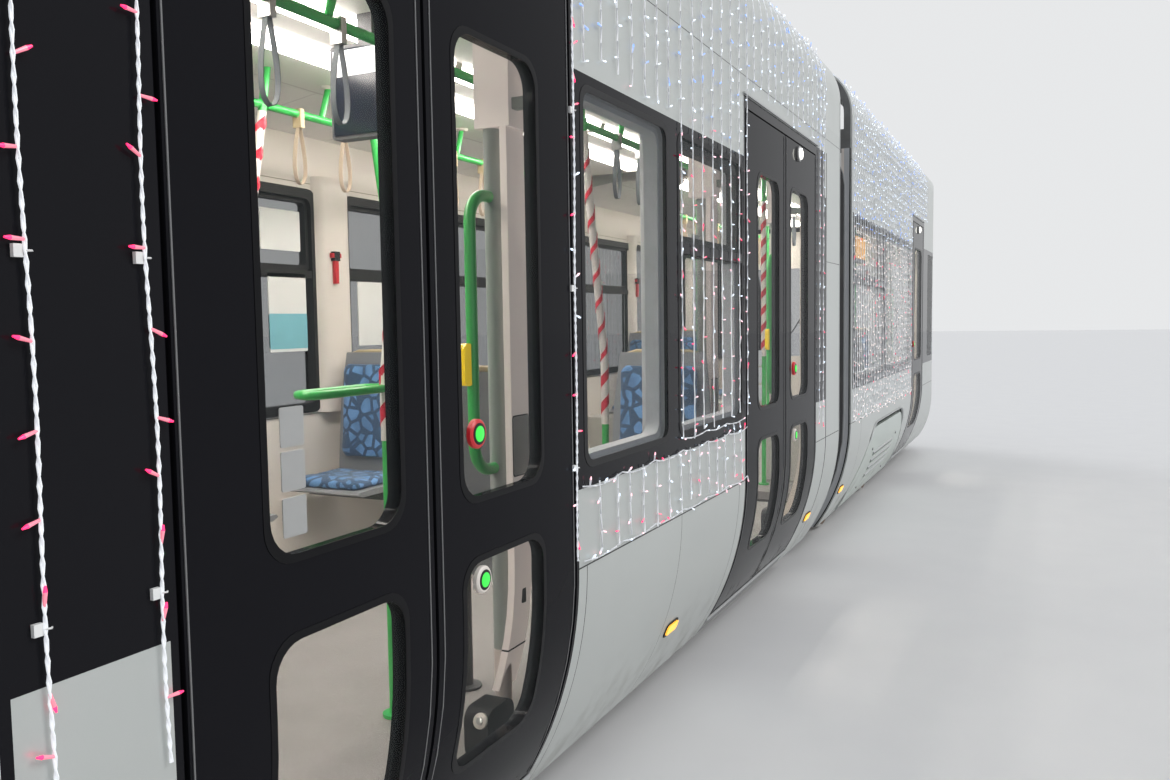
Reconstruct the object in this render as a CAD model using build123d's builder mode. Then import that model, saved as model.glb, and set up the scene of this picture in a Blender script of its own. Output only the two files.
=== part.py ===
from build123d import *
import math
import os

# A five-section low-floor articulated tram, in millimetres.
# +X runs towards the leading cab, +Y to the left side, +Z up. The origin is at the wheels'
# lowest points under the middle of the middle section. All passenger doors are on the right.

# Overall sizes
overall_length = 30120
half_width = 1175
body_bottom = 200
middle_length = 3500
door_section_length = 6000
gap = 400
nose_start = 12900

# Side profile: upright above the tuck, and curved inwards below it
tuck_top = 950
tuck_depth = 238
shoulder_bottom = 3060
shoulder_radius = 350
shoulder_turn = 75
wall = 70
wall_top = 2830
fit = 0.3
trim_spare = 20

# Windows
sill_z = 1250
glass_top_z = 2360
glass_thickness = 10
corner_radius = 45
window_post = 60
screen_thickness = 8
screen_z = (960, 1900)

# Doors
door_width = 1430
cab_door_width = 860
door_corner = 20
leaf_gap = 12
leaf_thickness = 40
rubber_inset = (12, 32)
rubber_edge = 8
outer_margin = 190
inner_margin = 110
single_margin = 150
door_glass_radius = 70
door_bottom_z = 290
door_top_z = 2620
low_glass_z = (565, 1100)
column_radius = 26
column_y = 950
column_set_back = 60
arm_half = 16
arm_z = (1180, 2300)

# Pillars beside the gangways and the doors
pillar = 460
pillar_depth = 150
end_post = 110
strip = 240

# Floor, ceiling and roof
under_z = 225
floor_z = 380
high_floor_z = 430
floor_plate = 32
ramp = 430
beam_half_width = 850
ceiling_z = 2730
cove_z = 2660
cove_half = 620
trough_z = 2960
fairing = 55
unit_height = 330
unit_corner = 60
unit_chamfer = 45
fan_radius = 230
fan_depth = 40

# Articulations
turntable_radius = 440
turntable_gap = 6
disc_thickness = 25
pin_radius = 35
pin_gap = 0.1
eye_radius = 95
eye_half = 90
eye_z = (250, 300)
pin_plate_z = (200, 245)
roof_eye_z = (trough_z, trough_z + 25)
roof_pin_plate_z = (trough_z + 30, trough_z + 55)
bellows_depth = 70
bellows_inset = 45
bellows_bottom = 300
bellows_top = 2900
bellows_corner = 320
bellows_folds = 7
bellows_fold_depth = 45
bellows_sheet = 8

# Bogies and wheels
wheelbase = 1800
tread_radius = 300
flange_height = 24
axle_z = tread_radius + flange_height
axle_radius = 55
hub_seat_radius = 70
hub_radius = 95
wheel_inner = 680
wheel_width = 115
podium_half_length = 1330
podium_top = 880
podium_skin = 30
aisle_half = 440
bogie_x = 10350
spring_x = 450
spring_top = 690
spring_radius = 65

# Seats and rails
cushion_length = 410
cushion_height = 70
back_height = 620
back_lean = 60
back_thickness = 50
seat_width = 500
seat_y = 800
low_seat_z = 840
post_radius = 17
post_foot_radius = 40
post_lean = 240
lean_z = 1500
lean_bend = 300
lean_spare = 4
rail_z = 2575
rail_y = 480

# Places that follow from the sizes
front_x = overall_length / 2
middle_end = middle_length / 2
inner_joint_x = middle_end + gap / 2
c_start = middle_end + gap
c_end = c_start + door_section_length
c_middle = (c_start + c_end) / 2
outer_joint_x = c_end + gap / 2
a_start = c_end + gap
tuck_radius = (tuck_depth**2 + (tuck_top - body_bottom) ** 2) / (2 * tuck_depth)
tuck_centre = half_width - tuck_radius
floor_inset = wall + fit

os.makedirs("parts", exist_ok=True)


def save(part, name):
    part.label = name
    export_step(part, f"parts/{name}.step")


def save_pair(part, front_name, rear_name):
    """The tram's rear half is its front half mirrored about the middle."""
    save(part, front_name)
    save(mirror(part, about=Plane.YZ), rear_name)


def box(x0, x1, y0, y1, z0, z1, mode=Mode.ADD):
    with Locations(((x0 + x1) / 2, (y0 + y1) / 2, (z0 + z1) / 2)):
        Box(abs(x1 - x0), abs(y1 - y0), abs(z1 - z0), mode=mode)


def upright(x, y, z0, z1, radius, mode=Mode.ADD):
    with Locations((x, y, (z0 + z1) / 2)):
        Cylinder(radius, z1 - z0, mode=mode)


def rod(start, end, radius, mode=Mode.ADD):
    """A round bar between two points."""
    along = Vector(*end) - Vector(*start)
    with BuildSketch(Plane(origin=start, z_dir=along)) as end_face:
        Circle(radius)
    extrude(end_face.sketch, amount=along.length, mode=mode)


def crossbar(x, z, half, radius, mode=Mode.ADD):
    """A round bar across the tram."""
    rod((x, -half, z), (x, half, z), radius, mode)


# The body's side as a curve, and what is cut from it
def side_y(inset, z):
    """Half width of the body at height z, for a skin that lies inset from the outer face."""
    if z >= tuck_top:
        return half_width - inset
    return tuck_centre + math.sqrt((tuck_radius - inset) ** 2 - (tuck_top - z) ** 2)


def side_curve(inset, z_low, z_high, side):
    """The side's line from z_low up to z_high, added to the open BuildLine."""
    turn = min(tuck_top, z_high)
    if z_low < tuck_top:
        half = (z_low + turn) / 2
        ThreePointArc(
            (side * side_y(inset, z_low), z_low),
            (side * side_y(inset, half), half),
            (side * side_y(inset, turn), turn),
        )
    if z_high > tuck_top:
        start = max(z_low, tuck_top)
        Line((side * (half_width - inset), start), (side * (half_width - inset), z_high))


def band(side, outer, inner, x0, x1, z0, z1, mode=Mode.ADD):
    """A strip of body side, from x0 to x1 and z0 to z1, between two insets."""
    with BuildSketch(Plane.YZ.offset(x0)) as profile:
        with BuildLine():
            side_curve(outer, z0, z1, side)
            side_curve(inner, z0, z1, side)
            Line((side * side_y(outer, z0), z0), (side * side_y(inner, z0), z0))
            Line((side * side_y(outer, z1), z1), (side * side_y(inner, z1), z1))
        make_face()
    extrude(profile.sketch, amount=x1 - x0, mode=mode)


def cabin_block(inset, x0, x1, z0, z1, mode=Mode.ADD):
    """A block that fills the body across its width, between two heights."""
    with BuildSketch(Plane.YZ.offset(x0)) as face:
        with BuildLine():
            for side in (-1, 1):
                side_curve(inset, z0, z1, side)
            Line((-side_y(inset, z0), z0), (side_y(inset, z0), z0))
            Line((-side_y(inset, z1), z1), (side_y(inset, z1), z1))
        make_face()
    extrude(face.sketch, amount=x1 - x0, mode=mode)


def side_prism(side, x0, x1, z0, z1, radius, mode):
    """A round-cornered block seen from the side; it covers that half of the body (0 both)."""
    with BuildSketch(Plane.XZ) as outline:
        with Locations(((x0 + x1) / 2, (z0 + z1) / 2)):
            RectangleRounded(x1 - x0, z1 - z0, radius)
    reach = 2 * half_width
    if side == 0:
        extrude(outline.sketch, amount=reach, both=True, mode=mode)
    else:
        extrude(outline.sketch, amount=-side * reach, mode=mode)


def side_plate(side, outer, inner, x0, x1, z0, z1, radius):
    """A plate of body side between two insets, its corners rounded as seen from the side."""
    with BuildPart() as plate:
        band(side, outer, inner, x0 - trim_spare, x1 + trim_spare, z0 - trim_spare, z1 + trim_spare)
        side_prism(side, x0, x1, z0, z1, radius, Mode.INTERSECT)
    return plate.part


# Windows: side (-1 right, 1 left), start and end along X
first_door = c_start + pillar + strip
second_door = c_end - pillar - strip - door_width
cab_door = a_start + 3190
middle_windows = [(side, x0, x1) for side in (-1, 1) for x0, x1 in ((-1600, -30), (30, 1600))]
c_windows = [
    (-1, first_door + door_width + 75, first_door + door_width + 765),
    (-1, second_door - 855, second_door - 55),
    (1, c_start + 500, c_middle - 880),
    (1, c_middle - 620, c_middle + 620),
    (1, c_middle + 880, c_end - 500),
]
a_windows = [
    (-1, a_start + 130, a_start + 1450),
    (-1, a_start + 1520, a_start + 3000),
    (1, a_start + 130, a_start + 1450),
    (1, a_start + 1520, a_start + 3000),
    (1, a_start + 3070, nose_start - window_post),
]

# Doorways: start along X, width and number of leaves
c_doors = [(first_door, door_width, 2), (second_door, door_width, 2)]
a_doors = [(cab_door, cab_door_width, 1)]

# Wheel arches in the sides of the sections with a bogie
arch_bottom_half = 1240
arch_top_half = 800
arch_top_z = 845
arch_turn_z = 320
arch_radii = [60, 320, 320, 60]


def arch_prism(centre, grow, drop, mode):
    """The wheel arch as seen from the side, larger by grow and lowered by drop."""
    wide = arch_bottom_half + grow
    narrow = arch_top_half + grow
    bottom = body_bottom - 60 - drop
    with BuildSketch(Plane.XZ) as face:
        with BuildLine():
            FilletPolyline(
                (centre - wide, bottom),
                (centre - wide, arch_turn_z - drop),
                (centre - narrow, arch_top_z + grow - drop),
                (centre + narrow, arch_top_z + grow - drop),
                (centre + wide, arch_turn_z - drop),
                (centre + wide, bottom),
                radius=arch_radii,
            )
            Line((centre - wide, bottom), (centre + wide, bottom))
        make_face()
    extrude(face.sketch, amount=2 * half_width, both=True, mode=mode)


def walls(x0, x1, windows, doors, arch_centre, pillars):
    """Both side walls: outer panel, window openings, door openings and wheel arch."""
    with BuildPart() as made:
        for side in (-1, 1):
            band(side, 0, wall, x0, x1, body_bottom, wall_top)
            for a, b in pillars:
                band(side, wall / 2, pillar_depth, a, b, high_floor_z + fit, cove_z - fit)
        for side, a, b in windows:
            side_prism(side, a, b, sill_z, glass_top_z, corner_radius, Mode.SUBTRACT)
        for start, width, leaves in doors:
            side_prism(-1, start, start + width, door_bottom_z, door_top_z, door_corner, Mode.SUBTRACT)
        if arch_centre is not None:
            arch_prism(arch_centre, 0, 0, Mode.SUBTRACT)
    return made.part


middle_pillars = [(-middle_end, -middle_end + end_post), (middle_end - end_post, middle_end)]
c_pillars = [(c_start, c_start + pillar), (c_end - pillar, c_end)]
a_pillars = [(a_start, a_start + end_post)]
save(walls(-middle_end, middle_end, middle_windows, [], 0, middle_pillars), "middle_walls")
save_pair(
    walls(c_start, c_end, c_windows, c_doors, None, c_pillars),
    "front_door_section_walls",
    "rear_door_section_walls",
)
save_pair(
    walls(a_start, nose_start, a_windows, a_doors, bogie_x, a_pillars),
    "front_cab_section_walls",
    "rear_cab_section_walls",
)


# Doors: flush leaves with rubber round their edges, carried by turning columns with two arms
def leaf_rows(start, width, leaves):
    """For each leaf of a doorway: its two ends, its glass's two ends, its rubber's two ends."""
    leaf = (width - (leaves + 1) * leaf_gap) / leaves
    meeting = (leaf_gap - fit) / 2
    rows = []
    for n in range(leaves):
        a = start + leaf_gap + n * (leaf + leaf_gap)
        b = a + leaf
        first, last = n == 0, n == leaves - 1
        left = single_margin if leaves == 1 else (outer_margin if first else inner_margin)
        right = single_margin if leaves == 1 else (outer_margin if last else inner_margin)
        rubber_a = start + fit if first else a - meeting
        rubber_b = start + width - fit if last else b + meeting
        rows.append((a, b, a + left, b - right, rubber_a, rubber_b))
    return rows


door_glass_z = [(sill_z, glass_top_z), low_glass_z]


def door_leaf(a, b, glass_a, glass_b, rubber_a, rubber_b):
    rubber = side_plate(
        -1, *rubber_inset, rubber_a, rubber_b, door_bottom_z + fit, door_top_z - fit, door_corner
    )
    with BuildPart() as leaf:
        add(rubber)
        band(-1, 0, leaf_thickness, a, b, door_bottom_z + rubber_edge, door_top_z - rubber_edge)
        for z0, z1 in door_glass_z:
            side_prism(-1, glass_a, glass_b, z0, z1, door_glass_radius, Mode.SUBTRACT)
    return leaf.part


def column_places(start, width, leaves):
    """Each door column of a doorway: its x, and the way from it to the doorway's middle."""
    both = [(start + column_set_back, 1), (start + width - column_set_back, -1)]
    return both[:leaves]


def door_column(x, floor_height):
    with BuildPart() as column:
        upright(x, -column_y, floor_height + fit, cove_z - fit, column_radius)
        for z in arm_z:
            back = half_width - leaf_thickness - fit
            box(x - arm_half, x + arm_half, -back, -column_y, z - arm_half, z + arm_half)
    return column.part


def door_set(doors, floor_height):
    leaves = [door_leaf(*row) for door in doors for row in leaf_rows(*door)]
    columns = [door_column(x, floor_height) for door in doors for x, towards in column_places(*door)]
    with BuildPart() as made:
        add(leaves)
        add(columns)
    return made.part


save_pair(door_set(c_doors, floor_z), "front_door_section_doors", "rear_door_section_doors")
save_pair(door_set(a_doors, high_floor_z), "front_cab_section_door", "rear_cab_section_door")


def glass_panes(windows, doors):
    """Flush panes in the windows and the door leaves."""
    panes = []
    for side, a, b in windows:
        z0, z1 = sill_z + fit, glass_top_z - fit
        panes.append(side_plate(side, 0, glass_thickness, a + fit, b - fit, z0, z1, corner_radius))
    for door in doors:
        for row in leaf_rows(*door):
            a, b = row[2] + fit, row[3] - fit
            for z0, z1 in door_glass_z:
                pane = side_plate(-1, 0, glass_thickness, a, b, z0 + fit, z1 - fit, door_glass_radius)
                panes.append(pane)
    return panes


# Glass screens stand between the doorways and the seats, from a post to the wall
screen_xs = [first_door + door_width + 20, second_door - 20]
with BuildPart() as middle_glazing:
    add(glass_panes(middle_windows, []))
save(middle_glazing.part, "middle_glazing")

c_panes = glass_panes(c_windows, c_doors)
with BuildPart() as c_glazing:
    add(c_panes)
    for x in screen_xs:
        half = screen_thickness / 2
        outer, inner = half_width - wall - fit, rail_y + post_radius + fit
        box(x - half, x + half, -outer, -inner, *screen_z)
save_pair(c_glazing.part, "front_door_section_glazing", "rear_door_section_glazing")


# Roofs: ceiling slab with side fairings round a trough, and the equipment units in the trough
def arc_point(radius, degrees, side):
    a = math.radians(degrees)
    return (
        side * (half_width - shoulder_radius + radius * math.cos(a)),
        shoulder_bottom + radius * math.sin(a),
    )


def shoulder_arc(radius, turns, side):
    ThreePointArc(*[arc_point(radius, turn, side) for turn in turns])


def roof_block(x0, x1):
    """The roof's section: shoulders outside, a trough on top, a coved ceiling below."""
    inner = shoulder_radius - fairing
    edge = half_width - wall - fit
    with BuildSketch(Plane.YZ.offset(x0)) as face:
        for side in (-1, 1):
            with BuildLine():
                shoulder_arc(shoulder_radius, (0, shoulder_turn / 2, shoulder_turn), side)
                shoulder_arc(inner, (shoulder_turn, shoulder_turn / 2, 0), side)
                Line(
                    arc_point(shoulder_radius, shoulder_turn, side),
                    arc_point(inner, shoulder_turn, side),
                )
                Polyline(
                    arc_point(inner, 0, side),
                    (side * (half_width - fairing), trough_z),
                    (0, trough_z),
                    (0, ceiling_z),
                    (side * cove_half, ceiling_z),
                    (side * edge, cove_z),
                    (side * edge, wall_top + fit),
                    (side * half_width, wall_top + fit),
                    arc_point(shoulder_radius, 0, side),
                )
            make_face()
    extrude(face.sketch, amount=x1 - x0)


joint_reach = 500
joint_block_start = 240
root_depth = 5


def roof_joint(joint_x, towards, pins):
    """The upper articulation: an eye on the sections with a bogie, a pin on the others."""
    ends = (joint_x, joint_x - towards * joint_reach)
    inner = (joint_x - towards * joint_block_start, joint_x - towards * joint_reach)
    if pins:
        box(*ends, -eye_half, eye_half, *roof_pin_plate_z)
        upright(joint_x, 0, *roof_pin_plate_z, eye_radius)
        box(*inner, -eye_half, eye_half, trough_z - root_depth, roof_pin_plate_z[1])
        upright(joint_x, 0, roof_eye_z[0], roof_pin_plate_z[1], pin_radius)
    else:
        box(*ends, -eye_half, eye_half, *roof_eye_z)
        upright(joint_x, 0, *roof_eye_z, eye_radius)
        box(*inner, -eye_half, eye_half, trough_z - root_depth, roof_eye_z[1])
        upright(joint_x, 0, *roof_eye_z, pin_radius + pin_gap, Mode.SUBTRACT)


def roof_unit(x0, x1, half, height, fans):
    """An equipment unit on the trough's floor, with fan wells in its lid."""
    low = trough_z + fit
    with BuildPart() as unit:
        with BuildSketch(Plane.XY.offset(low)) as base:
            with Locations(((x0 + x1) / 2, 0)):
                RectangleRounded(x1 - x0, 2 * half, unit_corner)
        extrude(base.sketch, amount=height)
        chamfer(unit.faces().sort_by(Axis.Z)[-1].edges(), unit_chamfer)
        for n in range(fans):
            x = x0 + (x1 - x0) * (n + 0.5) / fans
            upright(x, 0, low + height - fan_depth, low + height + fan_depth, fan_radius, Mode.SUBTRACT)
    return unit.part


def roof(x0, x1, units, joints, pins):
    """units: start, end, half width, height, fans. joints: x and direction outwards."""
    boxes = [roof_unit(*unit) for unit in units]
    with BuildPart() as made:
        roof_block(x0, x1)
        for joint_x, towards in joints:
            roof_joint(joint_x, towards, pins)
        add(boxes)
    return made.part


# Roof units: start and end along X, half width, height and number of fans
c_roof_units = [
    (c_start + 650, c_start + 2350, 700, unit_height, 3),
    (c_start + 2600, c_start + 3900, 640, unit_height - 60, 0),
    (c_end - 1850, c_end - 650, 700, unit_height, 2),
]
a_roof_units = [
    (a_start + 650, a_start + 1950, 680, unit_height, 2),
    (a_start + 2250, nose_start - 250, 620, unit_height - 40, 3),
]
save_pair(
    roof(c_start, c_end, c_roof_units, [(inner_joint_x, -1), (outer_joint_x, 1)], True),
    "front_door_section_roof",
    "rear_door_section_roof",
)
save_pair(
    roof(a_start, nose_start, a_roof_units, [(outer_joint_x, -1)], False),
    "front_cab_section_roof",
    "rear_cab_section_roof",
)

# Pantograph: folded at rest, equal arms, so the head rises straight up
panto_x = 760
panto_base_z = trough_z + 60
panto_pivot_z = trough_z + 165
panto_arm = 1480
panto_rest = 4
panto_elbow_x = panto_x - panto_arm * math.cos(math.radians(panto_rest))
panto_elbow_z = panto_pivot_z + panto_arm * math.sin(math.radians(panto_rest))
panto_head_z = 2 * panto_elbow_z - panto_pivot_z
panto_pin = 18
base_half = 400
base_bar = 30
base_feet_x = (-820, 920)
cheek_y = 175
middle_unit = (-1430, -1020, 560, 150, 0)

middle_joints = [(-inner_joint_x, -1), (inner_joint_x, 1)]
with BuildPart() as middle_roof:
    roof_block(-middle_end, middle_end)
    for joint_x, towards in middle_joints:
        roof_joint(joint_x, towards, False)
    for side in (-1, 1):
        y0, y1 = side * base_half - base_bar, side * base_half + base_bar
        box(-900, 1000, y0, y1, panto_base_z, panto_base_z + 50)
        for x in base_feet_x:
            upright(x, side * base_half, trough_z - root_depth, panto_base_z + 5, 38)
        y0, y1 = side * cheek_y - 15, side * cheek_y + 15
        box(panto_x - 60, panto_x + 60, y0, y1, panto_base_z, panto_pivot_z + 45)
    for x in (-870, 0, panto_x):
        box(x - base_bar, x + base_bar, -base_half, base_half, panto_base_z, panto_base_z + 45)
    crossbar(panto_x, panto_pivot_z, 220, panto_pin + pin_gap, Mode.SUBTRACT)
    add(roof_unit(*middle_unit))
save(middle_roof.part, "middle_roof")

with BuildPart() as pantograph_lower_arm:
    rod((panto_x, 0, panto_pivot_z), (panto_elbow_x, 0, panto_elbow_z), 36)
    crossbar(panto_x, panto_pivot_z, 200, panto_pin)
    crossbar(panto_x, panto_pivot_z, 150, 40)
    crossbar(panto_elbow_x, panto_elbow_z, 190, 30)
    crossbar(panto_elbow_x, panto_elbow_z, 250, panto_pin)
save(pantograph_lower_arm.part, "pantograph_lower_arm")

with BuildPart() as pantograph_upper_arm:
    for side in (-1, 1):
        rod((panto_elbow_x, side * 220, panto_elbow_z), (panto_x, side * 330, panto_head_z), 22)
        rod((panto_elbow_x, side * 198, panto_elbow_z), (panto_elbow_x, side * 242, panto_elbow_z), 45)
    crossbar(panto_x - 400, panto_head_z - 28, 295, 16)
    crossbar(panto_x, panto_head_z, 350, 26)
    crossbar(panto_x, panto_head_z, 380, panto_pin)
    crossbar(panto_elbow_x, panto_elbow_z, 300, panto_pin + pin_gap, Mode.SUBTRACT)
save(pantograph_upper_arm.part, "pantograph_upper_arm")

strip_half = 520
horn_half = 800
head_spread = 190
with BuildPart() as pantograph_head:
    for side in (-1, 1):
        bracket = head_spread + 20
        y0, y1 = side * 370 - 8, side * 370 + 8
        box(panto_x - bracket, panto_x + bracket, y0, y1, panto_head_z - 40, panto_head_z + 60)
        with BuildSketch(Plane.YZ.offset(panto_x + side * head_spread - 25)) as bow:
            with BuildLine():
                for tip_z, top_z in ((-60, 85), (-85, 55)):
                    FilletPolyline(
                        (-horn_half, panto_head_z + tip_z),
                        (-strip_half, panto_head_z + top_z),
                        (strip_half, panto_head_z + top_z),
                        (horn_half, panto_head_z + tip_z),
                        radius=120,
                    )
                for y in (-horn_half, horn_half):
                    Line((y, panto_head_z - 60), (y, panto_head_z - 85))
            make_face()
        extrude(bow.sketch, amount=50)
    crossbar(panto_x, panto_head_z, 400, panto_pin + pin_gap, Mode.SUBTRACT)
save(pantograph_head.part, "pantograph_head")

# Floors and underframes
end_beam = 280
joint_root = (gap / 2 - 40, gap / 2 + 60)


def floor_joint(joint_x, towards, pin):
    """The lower articulation under the turntable: an eye, or a pin on a plate below it."""
    ends = (joint_x, joint_x - towards * joint_root[1])
    root = (joint_x - towards * joint_root[0], joint_x - towards * joint_root[1])
    if pin:
        box(*ends, -eye_half, eye_half, *pin_plate_z)
        upright(joint_x, 0, *pin_plate_z, eye_radius)
        upright(joint_x, 0, pin_plate_z[0], eye_z[1] + 8, pin_radius)
        box(*root, -eye_half, eye_half, pin_plate_z[0], eye_z[1])
    else:
        box(*ends, -eye_half, eye_half, *eye_z)
        upright(joint_x, 0, *eye_z, eye_radius)
        upright(joint_x, 0, *eye_z, pin_radius + pin_gap, Mode.SUBTRACT)


def wheel_box(centre, side):
    """The box over the wheels of one side, with the seats of the two springs in it."""
    x0, x1 = centre - podium_half_length, centre + podium_half_length
    inner = side * (aisle_half + podium_skin)
    with BuildPart() as made:
        cabin_block(floor_inset, x0, x1, high_floor_z + fit, podium_top)
        box(x0, x1, -side * half_width, side * aisle_half, high_floor_z, podium_top, Mode.SUBTRACT)
        box(
            x0 + podium_skin,
            x1 - podium_skin,
            inner,
            side * half_width,
            high_floor_z,
            podium_top - podium_skin,
            Mode.SUBTRACT,
        )
        for n in (-1, 1):
            x = centre + n * spring_x
            root = side * (aisle_half + root_depth)
            box(x - 90, x + 90, root, side * 700, spring_top, spring_top + 30)
            for rib in (x - 82, x + 82):
                box(rib - 8, rib + 8, root, side * 700, spring_top + 25, podium_top - root_depth)
    return made.part


def bogie_floor(x0, x1, centre, joints):
    """The deck over a bogie, open above the wheels. joints: x and direction outwards."""
    hole = podium_half_length - podium_skin
    deck_bottom = high_floor_z - floor_plate
    with BuildPart() as made:
        cabin_block(floor_inset, x0, x1, deck_bottom, high_floor_z)
        for side in (-1, 1):
            y0, y1 = side * (aisle_half + podium_skin), side * 2 * half_width
            box(centre - hole, centre + hole, y0, y1, deck_bottom - 10, high_floor_z + 10, Mode.SUBTRACT)
        for joint_x, towards in joints:
            edge = joint_x - towards * gap / 2
            inner = edge - towards * end_beam
            box(edge, inner, -beam_half_width, beam_half_width, under_z + 15, high_floor_z - 5)
            upright(joint_x, 0, high_floor_z - disc_thickness, high_floor_z, turntable_radius)
            floor_joint(joint_x, towards, False)
    return made.part


middle_deck = bogie_floor(-middle_end, middle_end, 0, middle_joints)
middle_wheel_boxes = [wheel_box(0, side) for side in (-1, 1)]
with BuildPart() as middle_floor:
    add(middle_deck)
    add(middle_wheel_boxes)
save(middle_floor.part, "middle_floor")

# A door section's floor: low between the doors, with a ramp at each end
sill_width = 130
sole_y = 300
sole_half = 35
cross_beams = 8
ramp_end = c_start + pillar + strip
ramp_top = [
    (c_start, high_floor_z),
    (ramp_end - ramp, high_floor_z),
    (ramp_end, floor_z),
]
ramp_top += [(2 * c_middle - x, z) for x, z in reversed(ramp_top)]
ramp_bottom = [(x, z - floor_plate) for x, z in reversed(ramp_top)]
# Boxes hung under the low floor: start, end and side
under_boxes = [(3300, 4500, 1), (5800, 7000, -1), (4700, 5500, -1)]
with BuildPart() as c_floor:
    cabin_block(floor_inset, c_start, c_end, floor_z - 100, high_floor_z + 20)
    with BuildSketch(Plane.XZ) as side_view:
        with BuildLine():
            Polyline(*ramp_top, *ramp_bottom, close=True)
        make_face()
    extrude(side_view.sketch, amount=half_width, both=True, mode=Mode.INTERSECT)
    for joint_x, towards in ((inner_joint_x, -1), (outer_joint_x, 1)):
        hole_z = (high_floor_z - 60, high_floor_z + 5)
        upright(joint_x, 0, *hole_z, turntable_radius + turntable_gap, Mode.SUBTRACT)
        edge = joint_x - towards * gap / 2
        inner = edge - towards * end_beam
        beam_z = (under_z + 15, high_floor_z - disc_thickness - turntable_gap)
        box(edge, inner, -beam_half_width, beam_half_width, *beam_z)
        floor_joint(joint_x, towards, True)
    a, b = c_start + end_beam - root_depth, c_end - end_beam + root_depth
    beam_top = floor_z - floor_plate + 2
    for side in (-1, 1):
        band(side, floor_inset, floor_inset + sill_width, a, b, under_z, beam_top)
        y0, y1 = side * sole_y - sole_half, side * sole_y + sole_half
        box(a, b, y0, y1, under_z + 15, beam_top)
    for n in range(cross_beams):
        x = a + (b - a) * (n + 0.5) / cross_beams
        box(x - sole_half, x + sole_half, -beam_half_width, beam_half_width, under_z + 30, beam_top)
    for x0, x1, side in under_boxes:
        box(x0, x1, side * 380, side * 800, under_z, beam_top)
save_pair(c_floor.part, "front_door_section_floor", "rear_door_section_floor")

# Nose: one moulded block, hollow, trimmed by its plan view and its side view
nose_skin = 60
nose_flare = 4
tip_round_off = 64
front_tip = front_x + tip_round_off
nose_plan = [
    (nose_start, half_width + nose_flare),
    (13900, half_width + nose_flare),
    (14910, 700),
    (front_tip, 0),
]
plan_radii = [2500, 600, 1400, 600, 2500]
nose_roof_z = 3440
nose_side = [
    (14700, body_bottom),
    (front_tip, 420),
    (front_tip, 900),
    (14250, 2950),
    (13600, nose_roof_z),
]
side_radii = [200, 200, 800, 1000, 600]
nose_run_back = 600
screen_sill = 1150
screen_top = 2780
screen_sill_x = 14330
screen_top_x = 13900
screen_corner = 90


def nose_block(inset):
    """The nose's outer block, moved in by inset; a moved one runs on past its open ends."""
    back = nose_start - (500 if inset else 0)
    low = body_bottom - (100 if inset else 0)
    radius = shoulder_radius - inset
    far_back = back - nose_run_back
    with BuildPart() as block:
        with BuildSketch(Plane.YZ.offset(back)):
            with BuildLine():
                for side in (-1, 1):
                    side_curve(inset, low, shoulder_bottom, side)
                    shoulder_arc(radius, (0, 45, 90), side)
                Line((-side_y(inset, low), low), (side_y(inset, low), low))
                Line(arc_point(radius, 90, -1), arc_point(radius, 90, 1))
            make_face()
        extrude(amount=front_x - back + 100)
        half_plan = [(far_back, half_width + nose_flare)] + nose_plan[1:]
        outline = half_plan + [(x, -y) for x, y in reversed(half_plan[:-1])]
        with BuildSketch(Plane.XY) as plan:
            with BuildLine():
                FilletPolyline(*outline, radius=plan_radii)
                Line(outline[0], outline[-1])
            make_face()
            if inset:
                offset(amount=-inset)
        extrude(plan.sketch, amount=4000, mode=Mode.INTERSECT)
        foot = [(far_back, low - 200), (14500, low - 200)] if inset else [(far_back, low), nose_side[0]]
        outline = foot + nose_side[1:] + [(far_back, nose_roof_z)]
        with BuildSketch(Plane.XZ) as side_view:
            with BuildLine():
                FilletPolyline(*outline, radius=side_radii)
                Line(outline[0], outline[-1])
            make_face()
            if inset:
                offset(amount=-inset)
        extrude(side_view.sketch, amount=half_width + 100, both=True, mode=Mode.INTERSECT)
    return block.part


def nose_skin_part(depth):
    """The nose's skin to a depth, open behind and below."""
    hollow = nose_block(depth)
    with BuildPart() as skin:
        add(nose_outer)
        add(hollow, mode=Mode.SUBTRACT)
    return skin.part


def screen_prism(shrink, mode):
    ahead = front_x + 240
    with BuildSketch(Plane.XZ) as face:
        with BuildLine():
            FilletPolyline(
                (screen_sill_x + shrink, screen_sill + shrink),
                (ahead, screen_sill + shrink),
                (ahead, screen_top - shrink),
                (screen_top_x + shrink, screen_top - shrink),
                radius=screen_corner,
                close=True,
            )
        make_face()
    extrude(face.sketch, amount=half_width + 100, both=True, mode=mode)


nose_window = (nose_start + 90, 13800)
lamp_ys = (-620, 620)
lamp_half_width = 120
lamp_z = (805, 915)
lamp_back_x = 14300
bumper_z = (330, 560)
bumper_x = 14350
mask_joint_x = 14000
nose_outer = nose_block(0)
nose_thick = nose_skin_part(nose_skin)
nose_glass = nose_skin_part(glass_thickness)
nose_inner = nose_block(nose_skin + fit)
nose_front = front_x + 10


def lamp_block(y, shrink, mode):
    half = lamp_half_width - shrink
    box(lamp_back_x, nose_front, y - half, y + half, lamp_z[0] + shrink, lamp_z[1] - shrink, mode)


def nose_side_panel(side):
    """The panel between the last wall and the mask, with the cab's side window."""
    with BuildPart() as panel:
        add(nose_thick)
        box(nose_start - 10, mask_joint_x, 0, side * 2 * half_width, 0, wall_top, Mode.INTERSECT)
        side_prism(side, *nose_window, sill_z, glass_top_z, corner_radius, Mode.SUBTRACT)
        screen_prism(0, Mode.SUBTRACT)
    return panel.part


with BuildPart() as mask:
    add(nose_thick)
    box(mask_joint_x + fit, nose_front, -half_width, half_width, bumper_z[0], wall_top, Mode.INTERSECT)
    screen_prism(0, Mode.SUBTRACT)
    for y in lamp_ys:
        lamp_block(y, 0, Mode.SUBTRACT)
    box(bumper_x, nose_front, -half_width, half_width, *bumper_z, Mode.SUBTRACT)

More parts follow.
